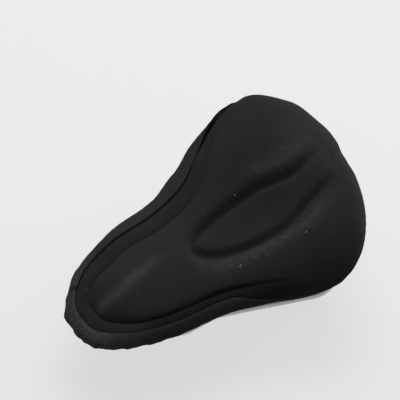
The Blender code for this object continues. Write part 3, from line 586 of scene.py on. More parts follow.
def knit_material(name, colour, raised, loops, fuzz):
    """Stretch knit: loops, gaps, pilled patches, pale specks, paler places that are partly worn and partly
    painted light, painted shade, and a fuzzy sheen.
    """
    made, tree, shader, place = new_material(name, colour, 0.92)
    shader.inputs["Sheen Weight"].default_value = fuzz
    shader.inputs["Sheen Roughness"].default_value = 0.45
    shader.inputs["Specular IOR Level"].default_value = 0.12
    cloth = tree.nodes.new("ShaderNodeUVMap")
    cloth.uv_map = "cloth"
    parts = tree.nodes.new("ShaderNodeSeparateXYZ")
    tree.links.new(cloth.outputs["UV"], parts.inputs[0])
    knit = use_group(tree, knit_group(), Across=parts.outputs["X"], Along=parts.outputs["Y"],
                     Loops_per_metre=loops)
    lint = use_group(tree, lint_group(), Place=place, Mask=stored_value(tree, "lint"))
    tone = mix_colours(tree, add_noise(tree, place, 28.0, 5.0), scaled(colour, 0.72), scaled(colour, 1.30))
    # The last two layers are painted: paler knit, partly real wear and partly painted light, and painted
    # shade
    layers = ((knit.outputs["Gap"], 0.45, scaled(colour, 0.35)), (lint.outputs["Clumps"], 0.55, raised),
              (lint.outputs["Specks"], 0.5, SPECK_COLOUR),
              (stored_value(tree, "wear_and_painted_light"), 1.0, scaled(raised, 0.62)),
              (stored_value(tree, "painted_shade"), 0.55, scaled(colour, 0.25)))
    for share, most, over in layers:
        if most != 1.0:
            share = add_math(tree, "MULTIPLY", share, most)
        tone = mix_colours(tree, share, tone, over)
    tree.links.new(tone, shader.inputs["Base Color"])
    under = add_bump(tree, shader, knit.outputs["Height"], 0.00022, 0.8)
    add_bump(tree, shader, lint.outputs["Clumps"], 0.0004, 0.35, under)
    return made


def grained_material(name, colour, roughness, pebbles, depth):
    """Moulded plastic or vinyl: pebble grain, and cloudy gloss where it is worn."""
    made, tree, shader, place = new_material(name, colour, roughness)
    grain = use_group(tree, grain_group(), Place=place, Pebbles_per_metre=pebbles)
    mottle(tree, shader, grain.outputs["Wear"], colour, 0.75, 1.35)
    gloss = add_math(tree, "ADD", add_math(tree, "MULTIPLY", grain.outputs["Wear"], 0.25), roughness - 0.12)
    tree.links.new(gloss, shader.inputs["Roughness"])
    add_bump(tree, shader, grain.outputs["Height"], depth, 0.6)
    return made


def steel_material(name, colour, roughness, scratch_scale):
    """Plated steel: faint draw lines, cloudy gloss and small dull spots."""
    made, tree, shader, place = new_material(name, colour, roughness, 1.0)
    stretch = tree.nodes.new("ShaderNodeMapping")
    stretch.inputs["Scale"].default_value = scratch_scale
    tree.links.new(place, stretch.inputs["Vector"])
    lines = add_noise(tree, stretch.outputs["Vector"], 1.0, 5.0)
    wear = use_group(tree, grain_group(), Place=place, Pebbles_per_metre=240.0).outputs["Wear"]
    gloss = add_math(tree, "ADD", add_math(tree, "MULTIPLY", lines, 0.16), roughness - 0.10)
    gloss = add_math(tree, "ADD", gloss, add_math(tree, "MULTIPLY", wear, 0.10))
    tree.links.new(gloss, shader.inputs["Roughness"])
    dull = add_math(tree, "MULTIPLY", add_math(tree, "SUBTRACT", wear, 0.5), 2.5, clamp=True)
    mottle(tree, shader, dull, colour, 1.0, 0.72)
    add_bump(tree, shader, lines, 0.00008, 0.5)
    return made


def foam_material(name, colour):
    """Open-cell foam."""
    made, tree, shader, place = new_material(name, colour, 0.95)
    cells = use_group(tree, grain_group(), Place=place, Pebbles_per_metre=700.0).outputs["Height"]
    mottle(tree, shader, cells, colour, 1.3, 0.4)
    add_bump(tree, shader, cells, 0.0006, 0.8)
    return made


def tape_material(name, colour):
    """Woven elastic: fine cross ribs."""
    made, tree, shader, place = new_material(name, colour, 0.85)
    weave = add_waves(tree, place, 320.0, 1.5)
    mottle(tree, shader, weave, colour, 0.5, 1.5)
    add_bump(tree, shader, weave, 0.0003, 0.7)
    return made


def thread_material(name, colour):
    """Twisted thread."""
    made, tree, shader, place = new_material(name, colour, 0.7)
    shader.inputs["Specular IOR Level"].default_value = 0.1
    ply = add_waves(tree, place, 900.0, 2.0)
    mottle(tree, shader, ply, colour, 0.4, 0.9)
    add_bump(tree, shader, ply, 0.0001, 0.6)
    return made


def floor_material(name, colour):
    """Pale floor: its glow is seen and mirrored but lights nothing softly; painted light makes it a little
    brighter and cooler towards the lamps.
    """
    made, tree, shader, place = new_material(name, colour, 0.85)
    split = tree.nodes.new("ShaderNodeSeparateXYZ")
    tree.links.new(place, split.inputs[0])
    across = add_math(tree, "MULTIPLY", split.outputs["X"], -0.56)
    away = add_math(tree, "ADD", across, add_math(tree, "MULTIPLY", split.outputs["Y"], -0.83))
    lamp_side_grade = tree.nodes.new("ShaderNodeMapRange")
    lamp_side_grade.interpolation_type = "SMOOTHSTEP"
    lamp_side_grade.inputs["From Min"].default_value = -0.10
    lamp_side_grade.inputs["From Max"].default_value = 0.16
    tree.links.new(away, lamp_side_grade.inputs["Value"])
    # Painted light: the diffuse colour grows a little brighter, and the glow a little cooler, towards the
    # lamps
    mottle(tree, shader, lamp_side_grade.outputs["Result"], colour, 0.13, 0.15)
    glow = mix_colours(tree, lamp_side_grade.outputs["Result"], colour, FAR_GLOW)
    tree.links.new(glow, shader.inputs["Emission Color"])
    seen = tree.nodes.new("ShaderNodeLightPath")
    shown = add_math(tree, "ADD", seen.outputs["Is Camera Ray"], seen.outputs["Is Glossy Ray"])
    shown = add_math(tree, "ADD", shown, seen.outputs["Is Transmission Ray"], clamp=True)
    tree.links.new(add_math(tree, "MULTIPLY", shown, FLOOR_GLOW), shader.inputs["Emission Strength"])
    return made


def set_material(item, made):
    """Give a piece one material."""
    item.data.materials.clear()
    item.data.materials.append(made)


def seat_piece(item, node_slot, *nodes):
    """Fix a finished piece to the saddle."""
    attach(item, "root")
    if nodes:
        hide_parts(*nodes)


def add_cloth_uv(item, across, along, wrap):
    """UV map in metres; a face that closes the round gets its start counted on past the round's end."""
    mesh = item.data
    layer = mesh.uv_layers.new(name="cloth")
    index = np.zeros(len(mesh.loops), int)
    mesh.loops.foreach_get("vertex_index", index)
    u = across[index].copy()
    if wrap:
        start = np.zeros(len(mesh.polygons), int)
        total = np.zeros(len(mesh.polygons), int)
        mesh.polygons.foreach_get("loop_start", start)
        mesh.polygons.foreach_get("loop_total", total)
        for s, n in zip(start, total):
            part = u[s:s + n]
            if part.max() - part.min() > wrap / 2.0:
                part[part < wrap / 2.0] += wrap
    flat = np.column_stack([u, along[index]]).ravel()
    layer.data.foreach_set("uv", flat.astype(np.float32))


# Settings that a user would change


class SaddleSizes(bpy.types.PropertyGroup):
    """Sizes and colours of the covered saddle."""
    channel_front: bpy.props.FloatProperty(
        name="Channel front", default=0.018, unit="LENGTH",
        description="How far forward the relief channel reaches")
    channel_middle: bpy.props.FloatProperty(
        name="Channel middle", default=-0.057, unit="LENGTH",
        description="Place of the channel's widest point")
    channel_half_width: bpy.props.FloatProperty(
        name="Channel half-width", default=0.0245, unit="LENGTH", description="Half of the leaf's width")
    groove_width: bpy.props.FloatProperty(
        name="Groove width", default=0.0050, unit="LENGTH", description="Half-width of each soft groove")
    groove_depth: bpy.props.FloatProperty(
        name="Groove depth", default=0.0048, unit="LENGTH", description="Depth of each soft groove")
    block_rise: bpy.props.FloatProperty(
        name="Block rise", default=0.0055, unit="LENGTH",
        description="Step from the flange up to the padded block")
    valley_depth: bpy.props.FloatProperty(
        name="Valley depth", default=0.017, unit="LENGTH", description="Hollow between the wings")
    lobe_crown: bpy.props.FloatProperty(
        name="Wing crown", default=0.004, unit="LENGTH", description="Extra dome of the padded wings")
    pucker_height: bpy.props.FloatProperty(
        name="Pucker height", default=0.0005, unit="LENGTH", description="Ripple of the skirt below the seam")
    gather_height: bpy.props.FloatProperty(
        name="Gather height", default=0.0016, unit="LENGTH", description="Ripple of the skirt at its hem")
    pad_colour: bpy.props.FloatVectorProperty(
        name="Pad colour", default=(0.0150, 0.0129, 0.0150), subtype="COLOR",
        description="Knit on the padded panel")
    skirt_colour: bpy.props.FloatVectorProperty(
        name="Skirt colour", default=(0.0130, 0.0119, 0.0126), subtype="COLOR",
        description="Knit on the side band")
    lint_colour: bpy.props.FloatVectorProperty(
        name="Lint colour", default=(0.060, 0.056, 0.060), subtype="COLOR",
        description="Pilled fibres on the knit")
    steel_colour: bpy.props.FloatVectorProperty(
        name="Steel colour", default=(0.60, 0.575, 0.53), subtype="COLOR", description="Plated rails")
    floor_colour: bpy.props.FloatVectorProperty(
        name="Floor colour", default=(0.815, 0.815, 0.81), subtype="COLOR",
        description="Pale floor near the saddle")


# The padded panel


BLOCK_SHARES = np.concatenate([np.linspace(0.0, 0.86, 62), np.linspace(0.872, 1.0, 15)])
FLANGE_SHARES = np.concatenate([np.linspace(0.04, 0.22, 5), np.linspace(0.30, 0.84, 7),
                                np.linspace(0.89, 1.0, 5)])
BASE_SHARES = (1.0, 0.9, 0.7, 0.5, 0.3, 0.0)
RIM_UNDERCUT = 0.002
STAND_START = 0.45

# Worn ridge of the nose with a painted highlight along it, and a painted highlight on top of the tail
CREST_PLACE = -0.0025
CREST_SHIFT = 0.0080
CREST_SPAN = (0.050, 0.100)
STREAK_WIDTH = 0.0058
STREAK_SPANS = ((0.030, 0.075), (0.112, 0.124))
TAIL_HIGHLIGHT_SPOT = (-0.108, -0.016)

# Pilled bands beside the channel, by distance from its groove
NEAR_BAND_PLACE = (0.010, 0.016)
NEAR_BAND_WIDTH = 0.0065
NEAR_BAND_SHIFT = (0.030, 0.090)
NEAR_BAND_SPANS = ((-0.035, -0.005), (0.085, 0.120))
FAR_BAND_PLACE = 0.014
FAR_BAND_WIDTH = 0.009
FAR_BAND_SPANS = ((0.050, 0.075), (0.095, 0.120))
BAND_SIDE = (0.0, 0.010)
TIP_WIDTH = 0.006
TIP_START = (0.010, 0.022)
# Width of the painted shade along the channel's groove
GROOVE_SHADE_WIDTH = 0.0052

# Painted shade on the flange and in its creases: darkness of the flange, of its crease, crease width, where
# it fades out
NEAR_SHADE = (1.75, 0.5, 1.0, (-0.055, -0.015))
FAR_SHADE = (0.25, 0.9, 0.65, (-0.085, -0.060))
NEAR_SHADE_FROM = 0.015
FAR_SHADE_FROM = -0.012
SHADE_REAR = (-0.065, -0.085)
SHADE_START = (0.020, 0.055)
SHADE_EDGE = 1.15
SHADE_SOFTNESS = (0.0, 0.25)
SEAM_SHADE = 0.5
WING_RIM_LOSS = 0.60


def flange_widths():
    """Width of the flange right round: narrower on the near side, as the cover lies askew."""
    askew = within(BEHIND_NOSE, *FLANGE_SHIFT_SPANS)
    return blend(FLANGE_WIDTH, SEAM_X) - FLANGE_SIDE_SHIFT * np.sign(SEAM_Y) * askew


def panel_top(size):
    """Rows of the panel's top, from the middle line out to the seam."""
    edge = 1.0 - flange_widths() / REACH
    domed = by_side(SEAM_X, SEAM_Y, NEAR_DOME, FAR_WING)
    rows = []
    for share in [edge * t for t in BLOCK_SHARES] + [edge + (1.0 - edge) * t for t in FLANGE_SHARES]:
        plan = SPOKE_START + SPOKES * share[:, None]
        on_flange = np.clip((share - edge) / (1.0 - edge), 0.0, 1.0) ** 0.6
        on_dome = np.clip((share - STAND_START) / (1.0 - STAND_START), 0.0, 1.0) ** 2
        swell = OUTWARD * (SEAM_SWELLS * mixed((on_flange, on_dome), domed))[:, None]
        height = pad_height(plan[:, 0], plan[:, 1], share, edge, size)
        rows.append(np.column_stack([pulled(plan, share) + swell, height]))
    return rows


def panel_base():
    """Rows of the panel's underside, from the seam in over the saddle's crown."""
    under_rim = SEAM_LYING + OUTWARD * (SEAM_SWELLS - RIM_UNDERCUT)[:, None]
    rows = [np.column_stack([under_rim, seam_height(SEAM_X) - FLANGE_THICKNESS - SEAM_DROPS])]
    for share in BASE_SHARES:
        plan = SPOKE_START + SPOKES * share
        height = seam_height(plan[:, 0]) - FLANGE_THICKNESS + SADDLE_CROWN * (1.0 - share ** 2)
        rows.append(np.column_stack([plan, height]))
    return rows


def nose_wear_and_painted_highlight(x, y):
    """Lighter, uneven ridge along the nose: worn knit with a painted highlight."""
    crest = CREST_PLACE + CREST_SHIFT * eased(x, CREST_SPAN)
    wear_and_highlight = hump(y, crest, STREAK_WIDTH) * within(x, *STREAK_SPANS)
    return wear_and_highlight * (0.80 + 0.20 * np.sin(210.0 * x + 60.0 * y) * np.sin(380.0 * y - 90.0 * x))


def pilled_bands(x, y, size):
    """Pilled knit beside the channel on the near side, on the far side, and ahead of its tip."""
    distance = groove_distance(x, y, size)
    near = hump(distance, mixed(NEAR_BAND_PLACE, eased(-x, NEAR_BAND_SHIFT)), NEAR_BAND_WIDTH)
    near *= eased(y, BAND_SIDE) * within(-x, *NEAR_BAND_SPANS)
    far = hump(distance, FAR_BAND_PLACE, FAR_BAND_WIDTH) * eased(-y, BAND_SIDE) * within(-x, *FAR_BAND_SPANS)
    tip = hump(distance, 0.0, TIP_WIDTH) * eased(x, TIP_START)
    return near, far, tip


def flange_shade(plan):
    """Painted shade on the flange and in its creases; on the far side little more than the creases."""
    widths = flange_widths()
    shade = np.zeros(len(plan))
    for index, (x, y) in enumerate(plan):
        near_side = y > NEAR_SHADE_FROM and x > SHADE_REAR[0]
        far_side = y < FAR_SHADE_FROM and x > SHADE_REAR[1]
        if not (near_side or far_side):
            continue
        nearest = int(np.argmin(np.hypot(SEAM_LYING[:, 0] - x, SEAM_LYING[:, 1] - y)))
        rim = widths[nearest] * (1.0 - WING_RIM_LOSS * wing_share(SEAM_X[nearest]) * near_side)
        inward = -((x, y) - SEAM_LYING[nearest]).dot(OUTWARD[nearest])
        from_seam = max(inward, 0.0) / rim
        flange, crease, narrow, rear = NEAR_SHADE if near_side else FAR_SHADE
        dark = flange * eased(SHADE_EDGE - from_seam, SHADE_SOFTNESS)
        dark += crease * hump(from_seam, 1.0, 0.14 * narrow)
        dark += SEAM_SHADE * hump(from_seam, 0.0, 0.16 * narrow)
        shade[index] = dark * eased(x, rear)
    return shade * eased(NOSE_REACH - plan[:, 0], SHADE_START)


class SADDLE_OT_padded_panel(bpy.types.Operator):
    """Make the moulded top panel of the cover"""
    bl_idname = "saddle.padded_panel"
    bl_label = "Padded panel"

    def execute(self, context):
        size = context.scene.saddle_sizes
        top = panel_top(size)
        rows = top + panel_base()
        pad = link_mesh("padded_panel", np.vstack(rows), band_faces(len(rows), False))
        if len(pad.data.polygons) < COLUMNS * len(top) / 2:
            raise RuntimeError("the padded panel lost faces")
        place = coordinates(pad)
        x, y = place[:, 0], place[:, 1]
        add_cloth_uv(pad, x, y, 0.0)
        # Painted highlights on the nose's crest, where the knit is also worn, and on top of the tail
        wear_and_highlight = nose_wear_and_painted_highlight(x, y)
        tail_highlight = hump(x, TAIL_HIGHLIGHT_SPOT[0], 0.020) * hump(y, TAIL_HIGHLIGHT_SPOT[1], 0.026)
        channel_y = y - (ASKEW_MIDDLE + tail_shift(x))
        near_band, far_band, tip = pilled_bands(x, channel_y, size)
        # Lint and paler knit: real pilling beside the channel and ahead of its tip, and the painted
        # highlights above
        lint = 0.06 + 0.75 * near_band + 0.4 * far_band + 0.30 * wear_and_highlight + 0.25 * tail_highlight + 0.3 * tip
        wear_and_painted_light = 0.85 * wear_and_highlight + 0.34 * near_band + 0.30 * far_band + 0.34 * tail_highlight
        # Painted shade: darker knit along the channel's groove, and on the flange and in its creases
        painted_shade = hump(groove_distance(x, channel_y, size), 0.0, GROOVE_SHADE_WIDTH) * groove_fade(x, size)
        point_values(pad, "lint", np.clip(lint, 0.0, 1.0))
        point_values(pad, "wear_and_painted_light", np.clip(wear_and_painted_light, 0.0, 1.0))
        point_values(pad, "painted_shade", np.maximum(painted_shade, flange_shade(place[:, :2])))
        set_material(pad, knit_material("pad_knit", tuple(size.pad_colour), tuple(size.lint_colour),
                                        PAD_LOOPS, PAD_FUZZ))
        seat_piece(pad, "pad_knit", "cover_top_pad")
        return {"FINISHED"}


# The side skirt


# Gathers, by distance behind the nose tip, and the skirt's flare on the far side
NOSE_GATHERS = (0.015, 0.085)
TAIL_GATHERS = (0.235, 0.262)
FAR_FLARE = 0.0055
FLARE_SPANS = ((0.030, 0.090), (0.165, 0.212))
FLARE_EXTRA = 1.2
FLARE_EXTRA_START = (0.115, 0.145)

# One fold and one corner of slack cloth on the far side of the nose: depth, or darkness of its painted shade,
# and width
FOLD_SPOT = (0.119, -0.031)
FOLD_CREASE = (0.0014, 0.0024)
FOLD_SHOULDER = (0.0006, 0.0120)
FOLD_SHADE = (1.7, 0.0020)
CORNER_SPOT = (0.134, -0.017)
CORNER = (0.0030, 0.0060)
WING_TUCK = 0.0032

# Hem's side: share of the bulge, way in, height above the foot, shares of slack, tuck and droop
HEM_SIDE = ((0.15, 0.0008, 0.0027, 0.9, 1.0, 0.4), (0.0, 0.0014, 0.00072, 0.8, 1.2, 0.8),
            (0.0, 0.0030, 0.0, 0.6, 0.9, 0.9))

# Hem turned in round its elastic: way in, height above the foot, share of the droop
HEM_TURN = ((0.0060, 0.0, 0.6), (0.0095, 0.0, 0.4), (HEM_INNER - 0.0008, 0.0, 0.2), (HEM_INNER, 0.0012, 0.0),
            (HEM_INNER, 0.0040, 0.0), (HEM_INNER - 0.0008, 0.0052, 0.0), (0.0062, 0.0052, 0.0),
            (0.0060, 0.0037, 0.0), (HEM_INNER - 0.0016, 0.0036, 0.0), (HEM_INNER - 0.0016, 0.0016, 0.0),
            (0.0040, 0.0016, 0.0))

# Lint and painted light on the skirt: round the nose tip, and on the far side
NOSE_LINT_AND_LIGHT = (0.0, 0.050)
FAR_LINT_AND_LIGHT = (0.0, 0.030)


def distance_from(spot):
    """Distance along the seam from its place nearest a spot."""
    return SEAM_ALONG - SEAM_ALONG[np.argmin(np.hypot(SEAM_X - spot[0], SEAM_Y - spot[1]))]


FOLD_DISTANCE = distance_from(FOLD_SPOT)


def skirt_row(offset, depth):
    """Row of the skirt at an offset out from the seam and a depth below it."""
    plan = SEAM + OUTWARD * (offset + np.zeros(COLUMNS))[:, None]
    return np.column_stack([plan, seam_height(SEAM_X) - depth])


def skirt_rows(size):
    """Rows of the skirt: down its outside, round the turned hem and up its inside."""
    bulge = blend(SKIRT_BULGE, SEAM_X)
    wing = wing_share(SEAM_X)
    nose = 1.0 - eased(BEHIND_NOSE, NOSE_GATHERS)
    pucker = waves(SEAM_ALONG, 97.0, 0.6)
    gather = waves(SEAM_ALONG, 46.0, 2.3) + 0.5 * waves(SEAM_ALONG, 83.0, 4.1)
    gather += nose * (0.30 * waves(SEAM_ALONG, 71.0, 1.2) + 0.25 * waves(SEAM_ALONG, 127.0, 0.7))
    strength = 0.30 + 1.1 * nose + 0.25 * eased(BEHIND_NOSE, TAIL_GATHERS)
    slack = (0.5 + 0.5 * gather) * size.gather_height * strength
    fold = -sum(depth * hump(FOLD_DISTANCE, 0.0, width) for depth, width in (FOLD_CREASE, FOLD_SHOULDER))
    corner = CORNER[0] * hump(distance_from(CORNER_SPOT), 0.0, CORNER[1])
    flare = FAR_FLARE * (SEAM_Y < 0.0) * within(BEHIND_NOSE, *FLARE_SPANS)
    flare = flare * (1.0 + FLARE_EXTRA * eased(BEHIND_NOSE, FLARE_EXTRA_START))
    askew = ((SEAM_LYING - SEAM) * OUTWARD).sum(axis=1)
    swell = SEAM_SWELLS + np.maximum(askew, 0.0)
    tuck = np.minimum(askew, 0.0)
    outside = []
    inside = []
    for share, drop in SECTION:
        depth = SEAM_DROPS + (SADDLE_SIDE - SEAM_DROPS) * drop
        below = SADDLE_SIDE * drop
        ripple = size.pucker_height * (0.5 + 0.5 * pucker) * hump(below, 0.0, 0.005) * min(drop * 12.0, 1.0)
        pull = slack * drop ** 1.6 + corner * drop ** 2
        spread = swell * (1.0 - drop) ** 1.2 + tuck * math.exp(-below / 0.0008)
        spread = spread + fold * hump(drop, 0.35, 0.25) * min(drop * 10.0, 1.0)
        spread = spread + flare * hump(drop, 0.26, 0.22) * min(drop * 14.0, 1.0)
        offset = bulge * share * (1.0 - 0.9 * wing * (1.0 - drop)) + spread + ripple + pull
        offset = np.maximum(offset, side_reach(SEAM_X, depth) * np.minimum(SEAM_DROPS / 0.002, 1.0))
        outside.append(skirt_row(offset + CLEARANCE, depth))
        under = SKIRT_THICKNESS + (SADDLE_SIDE - SKIRT_THICKNESS - SEAM_DROPS) * drop + SEAM_DROPS
        inside.append(skirt_row(offset - ripple - pull - SKIRT_THICKNESS * min(drop * 8.0, 1.0), under))

    foot = SADDLE_SIDE + HEM_DROP
    droop = slack * (0.7 + 0.7 * nose) + 0.8 * corner
    hem = []
    for fullness, inward, rise, loose, tucked, lowered in HEM_SIDE:
        offset = fullness * bulge - inward + loose * (slack + corner) - tucked * WING_TUCK * wing
        hem.append(skirt_row(offset, foot - rise + lowered * droop))
    for inward, rise, lowered in HEM_TURN:
        hem.append(skirt_row(-inward, foot - rise + lowered * droop))
    return outside + hem + inside[::-1]


class SADDLE_OT_side_skirt(bpy.types.Operator):
    """Make the stretch side band with its puckers, gathers and turned hem"""
    bl_idname = "saddle.side_skirt"
    bl_label = "Side skirt"

    def execute(self, context):
        size = context.scene.saddle_sizes
        rows = skirt_rows(size)
        points = np.vstack(rows)
        skirt = link_mesh("side_skirt", points, band_faces(len(rows), True))
        place = coordinates(skirt)
        keys = {tuple(np.round(p, 6)): k for k, p in enumerate(points)}
        nearest = np.array([keys.get(tuple(np.round(p, 6)), 0) for p in place])
        around = np.tile(SEAM_ALONG, len(rows))
        down = np.repeat(np.linspace(0.0, CLOTH_HEIGHT, len(rows)), COLUMNS)
        add_cloth_uv(skirt, around[nearest], down[nearest], SEAM_ROUND)
        # Painted light: the skirt's knit is paler round the nose tip and on the far side, partly with real
        # lint specks; all of it is paled a little
        nose_lint_and_light = 1.0 - eased(NOSE_REACH - place[:, 0], NOSE_LINT_AND_LIGHT)
        far = eased(-place[:, 1], FAR_LINT_AND_LIGHT)
        wear_and_painted_light = 0.70 * nose_lint_and_light * (0.5 + 0.5 * far) + 0.16 + 0.08 * far
        point_values(skirt, "lint", np.clip(0.04 + 1.30 * nose_lint_and_light + 0.16 * far, 0.0, 1.35))
        point_values(skirt, "wear_and_painted_light", np.clip(wear_and_painted_light, 0.0, 1.0))
        # Painted shade in the fold on the far side of the nose
        fold_shade = FOLD_SHADE[0] * hump(FOLD_DISTANCE, 0.0, FOLD_SHADE[1])
        point_values(skirt, "painted_shade", fold_shade[nearest % COLUMNS])
        set_material(skirt, knit_material("skirt_knit", tuple(size.skirt_colour), tuple(size.lint_colour),
                                          SKIRT_LOOPS, SKIRT_FUZZ))
        seat_piece(skirt, "side_knit", "cover_side_skirt")
        return {"FINISHED"}


# The seam's stitches


STITCH_SIZE = (0.0030, 0.0008, 0.0006)
STITCH_PITCH = 0.0042
STITCH_DEPTH = 0.0016
STITCH_OUT = 0.0003
TURNED_IN = 0.0026
TURNED_DOWN = 0.0008
TURNED_DROP = (0.0, 0.006)
TURNED_WING = (0.3, 0.9)
SLOPE_STEP = 0.001


def unit_stitch():
    """Points and faces of one stitch about the origin."""
    deselect()
    bpy.ops.mesh.primitive_uv_sphere_add(segments=8, ring_count=5, radius=0.5)
    stitch = bpy.context.object
    stitch.name = "seam_stitches"
    bpy.ops.object.mode_set(mode="EDIT")
    bpy.ops.mesh.select_all(action="SELECT")
    bpy.ops.transform.resize(value=STITCH_SIZE)
    bpy.ops.object.mode_set(mode="OBJECT")
    points = coordinates(stitch)
    faces = [tuple(p.vertices) for p in stitch.data.polygons]
    bpy.data.objects.remove(stitch, do_unlink=True)
    return points, faces


class SADDLE_OT_seam_stitches(bpy.types.Operator):
    """Make the row of thread stitches that joins the skirt to the panel"""
    bl_idname = "saddle.seam_stitches"
    bl_label = "Seam stitches"

    def execute(self, context):
        size = context.scene.saddle_sizes
        one, one_faces = unit_stitch()
        wing = wing_share(SEAM_X)
        bulge = blend(SKIRT_BULGE, SEAM_X) * (1.0 - 0.9 * wing)
        lying = SEAM_LYING + OUTWARD * SEAM_SWELLS[:, None]
        turned = np.minimum(eased(SEAM_DROPS, TURNED_DROP) + eased(wing, TURNED_WING), 1.0)
        count = int(SEAM_ROUND / STITCH_PITCH)
        points = []
        faces = []
        for k in range(count):
            at = (k + 0.5) / count * COLUMNS
            c = int(at) % COLUMNS
            after = (c + 1) % COLUMNS
            t = at - int(at)
            seam = lying[c] * (1.0 - t) + lying[after] * t
            run = lying[after] - lying[c]
            run = run / np.hypot(*run)
            away = np.array([run[1], -run[0]])
            offset = 0.42 * bulge[c] + STITCH_OUT - TURNED_IN * turned[c]
            height = seam_line(SEAM[c]) - STITCH_DEPTH - TURNED_DOWN * turned[c]
            centre = np.append(seam + away * offset, height)
            step = run * SLOPE_STEP
            slope = (seam_line(SEAM[c] + step) - seam_line(SEAM[c] - step)) / (2.0 * SLOPE_STEP)
            forward = np.array([run[0], run[1], slope])
            forward /= np.linalg.norm(forward)
            out = np.array([away[0], away[1], 0.9])
            out -= forward * out.dot(forward)
            out /= np.linalg.norm(out)
            side = np.cross(out, forward)
            base = len(points) * len(one)
            points.append(centre + one[:, :1] * forward + one[:, 1:2] * side + one[:, 2:3] * out)
            faces += [tuple(v + base for v in face) for face in one_faces]
        row = link_mesh("seam_stitches", np.vstack(points), faces)
        set_material(row, thread_material("thread", tuple(size.skirt_colour)))
        seat_piece(row, "side_knit")
        return {"FINISHED"}


# Loose fibres on the knit


# Places of the brightest fibres, and spans along and across for the scattered ones
BRIGHT_SPOTS = ((-0.067, 0.056), (-0.008, 0.042), (-0.043, -0.021), (-0.070, -0.083), (0.112, -0.019))
SCATTERED = ((16, (-0.085, 0.010), (0.034, 0.052)), (8, (-0.10, 0.10), (-0.035, 0.035)))
LONG_FIBRES = 2
LONG_LENGTH = (0.0026, 0.0040)
SHORT_LENGTH = (0.0008, 0.0019)
BRIGHT_RADIUS = 0.00022
FINE_RADIUS = 0.00008
FIBRE_LIFT = 0.00015
FIBRE_SIDES = 5
ABOVE_SADDLE = 0.30


def fibre_path(panel, spot, length, radius, turn, curl):
    """Points of one fibre lying on the panel."""
    path = []
    for t in np.linspace(-0.5, 0.5, 5):
        x = spot[0] + math.cos(turn + curl * t) * length * t
        y = spot[1] + math.sin(turn + curl * t) * length * t
        hit, where, normal, _ = panel.ray_cast(Vector((x, y, ABOVE_SADDLE)), Vector((0.0, 0.0, -1.0)))
        if hit:
            path.append(where + normal * (radius + FIBRE_LIFT * math.cos(t * math.pi)))
    return path


def fibre_rings(path, radius):
    """Points round a fibre's path, narrower at its ends."""
    points = []
    for k, spot in enumerate(path):
        ahead = (path[min(k + 1, len(path) - 1)] - path[max(k - 1, 0)]).normalized()
        side = ahead.cross(Vector((0.0, 0.0, 1.0))).normalized()
        rise = side.cross(ahead)
        narrow = 0.35 if k in (0, len(path) - 1) else 1.0
        for corner in range(FIBRE_SIDES):
            angle = 2.0 * math.pi * corner / FIBRE_SIDES
            points.append(spot + (side * math.cos(angle) + rise * math.sin(angle)) * radius * narrow)
    return points


def fibre_faces(rings, base):
    """Faces of a closed tube with this many rings."""
    faces = []
    for k in range(rings - 1):
        a = base + FIBRE_SIDES * k
        for corner in range(FIBRE_SIDES):
            after = (corner + 1) % FIBRE_SIDES
            faces.append((a + corner, a + after, a + FIBRE_SIDES + after, a + FIBRE_SIDES + corner))
    for end in (0, rings - 1):
        faces.append(tuple(base + FIBRE_SIDES * end + c for c in range(FIBRE_SIDES)))
    return faces


class SADDLE_OT_lint(bpy.types.Operator):
    """Make the few loose fibres lying on the knit"""
    bl_idname = "saddle.lint"
    bl_label = "Loose fibres"

    def execute(self, context):
        chance = np.random.default_rng(11)
        panel = bpy.data.objects["padded_panel"]
        context.view_layer.update()
        picked = list(BRIGHT_SPOTS)
        for count, along, across in SCATTERED:
            picked += [(chance.uniform(*along), chance.uniform(*across)) for _ in range(count)]
        points = []
        faces = []
        for number, spot in enumerate(picked):
            length = chance.uniform(*(LONG_LENGTH if number < LONG_FIBRES else SHORT_LENGTH))
            radius = BRIGHT_RADIUS if number < len(BRIGHT_SPOTS) else FINE_RADIUS
            turn = chance.uniform(0.0, math.pi)
            curl = chance.uniform(-1.2, 1.2)
            path = fibre_path(panel, spot, length, radius, turn, curl)
            if path:
                faces += fibre_faces(len(path), len(points))
                points += fibre_rings(path, radius)
        fibres = link_mesh("loose_fibres", points, faces)
        made, tree, shader, place = new_material("lint_fibre", (0.50, 0.49, 0.47), 0.9)
        tint = mix_colours(tree, add_noise(tree, place, 60.0), *FIBRE_COLOURS)
        tree.links.new(tint, shader.inputs["Base Color"])
        set_material(fibres, made)
        seat_piece(fibres, "pad_knit")
        return {"FINISHED"}


class SADDLE_OT_finishes(bpy.types.Operator):
    """Give the saddle's own solids their finishes"""
    bl_idname = "saddle.finishes"
    bl_label = "Saddle finishes"

    def execute(self, context):
        size = context.scene.saddle_sizes
        looks = {
            "rail": steel_material("rail_steel", tuple(size.steel_colour), 0.42, (60.0, 900.0, 900.0)),
            "hem_elastic": tape_material("elastic_tape", (0.020, 0.020, 0.022)),
            "saddle_skin": grained_material("saddle_vinyl", (0.013, 0.013, 0.014), 0.50, 1100.0, 0.0002),
            "saddle_padding": foam_material("saddle_foam", (0.16, 0.16, 0.17)),
            "saddle_shell": grained_material("shell_plastic", (0.022, 0.022, 0.024), 0.48, 1500.0, 0.0001),
            "bracket": grained_material("bracket_plastic", (0.035, 0.035, 0.037), 0.42, 2200.0, 0.00006),
            "screw": steel_material("screw_steel", (0.62, 0.62, 0.64), 0.32, (400.0, 400.0, 400.0)),
        }
        for name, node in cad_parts.items():
            for key, made in looks.items():
                if key in name:
                    set_material(node, made)
                    break
            else:
                if name not in ("cover_top_pad", "cover_side_skirt"):
                    raise RuntimeError("no finish for " + name)
        return {"FINISHED"}


# The stage


FLOOR_WIDTH = 8.0
FLOOR_GLOW = 0.80
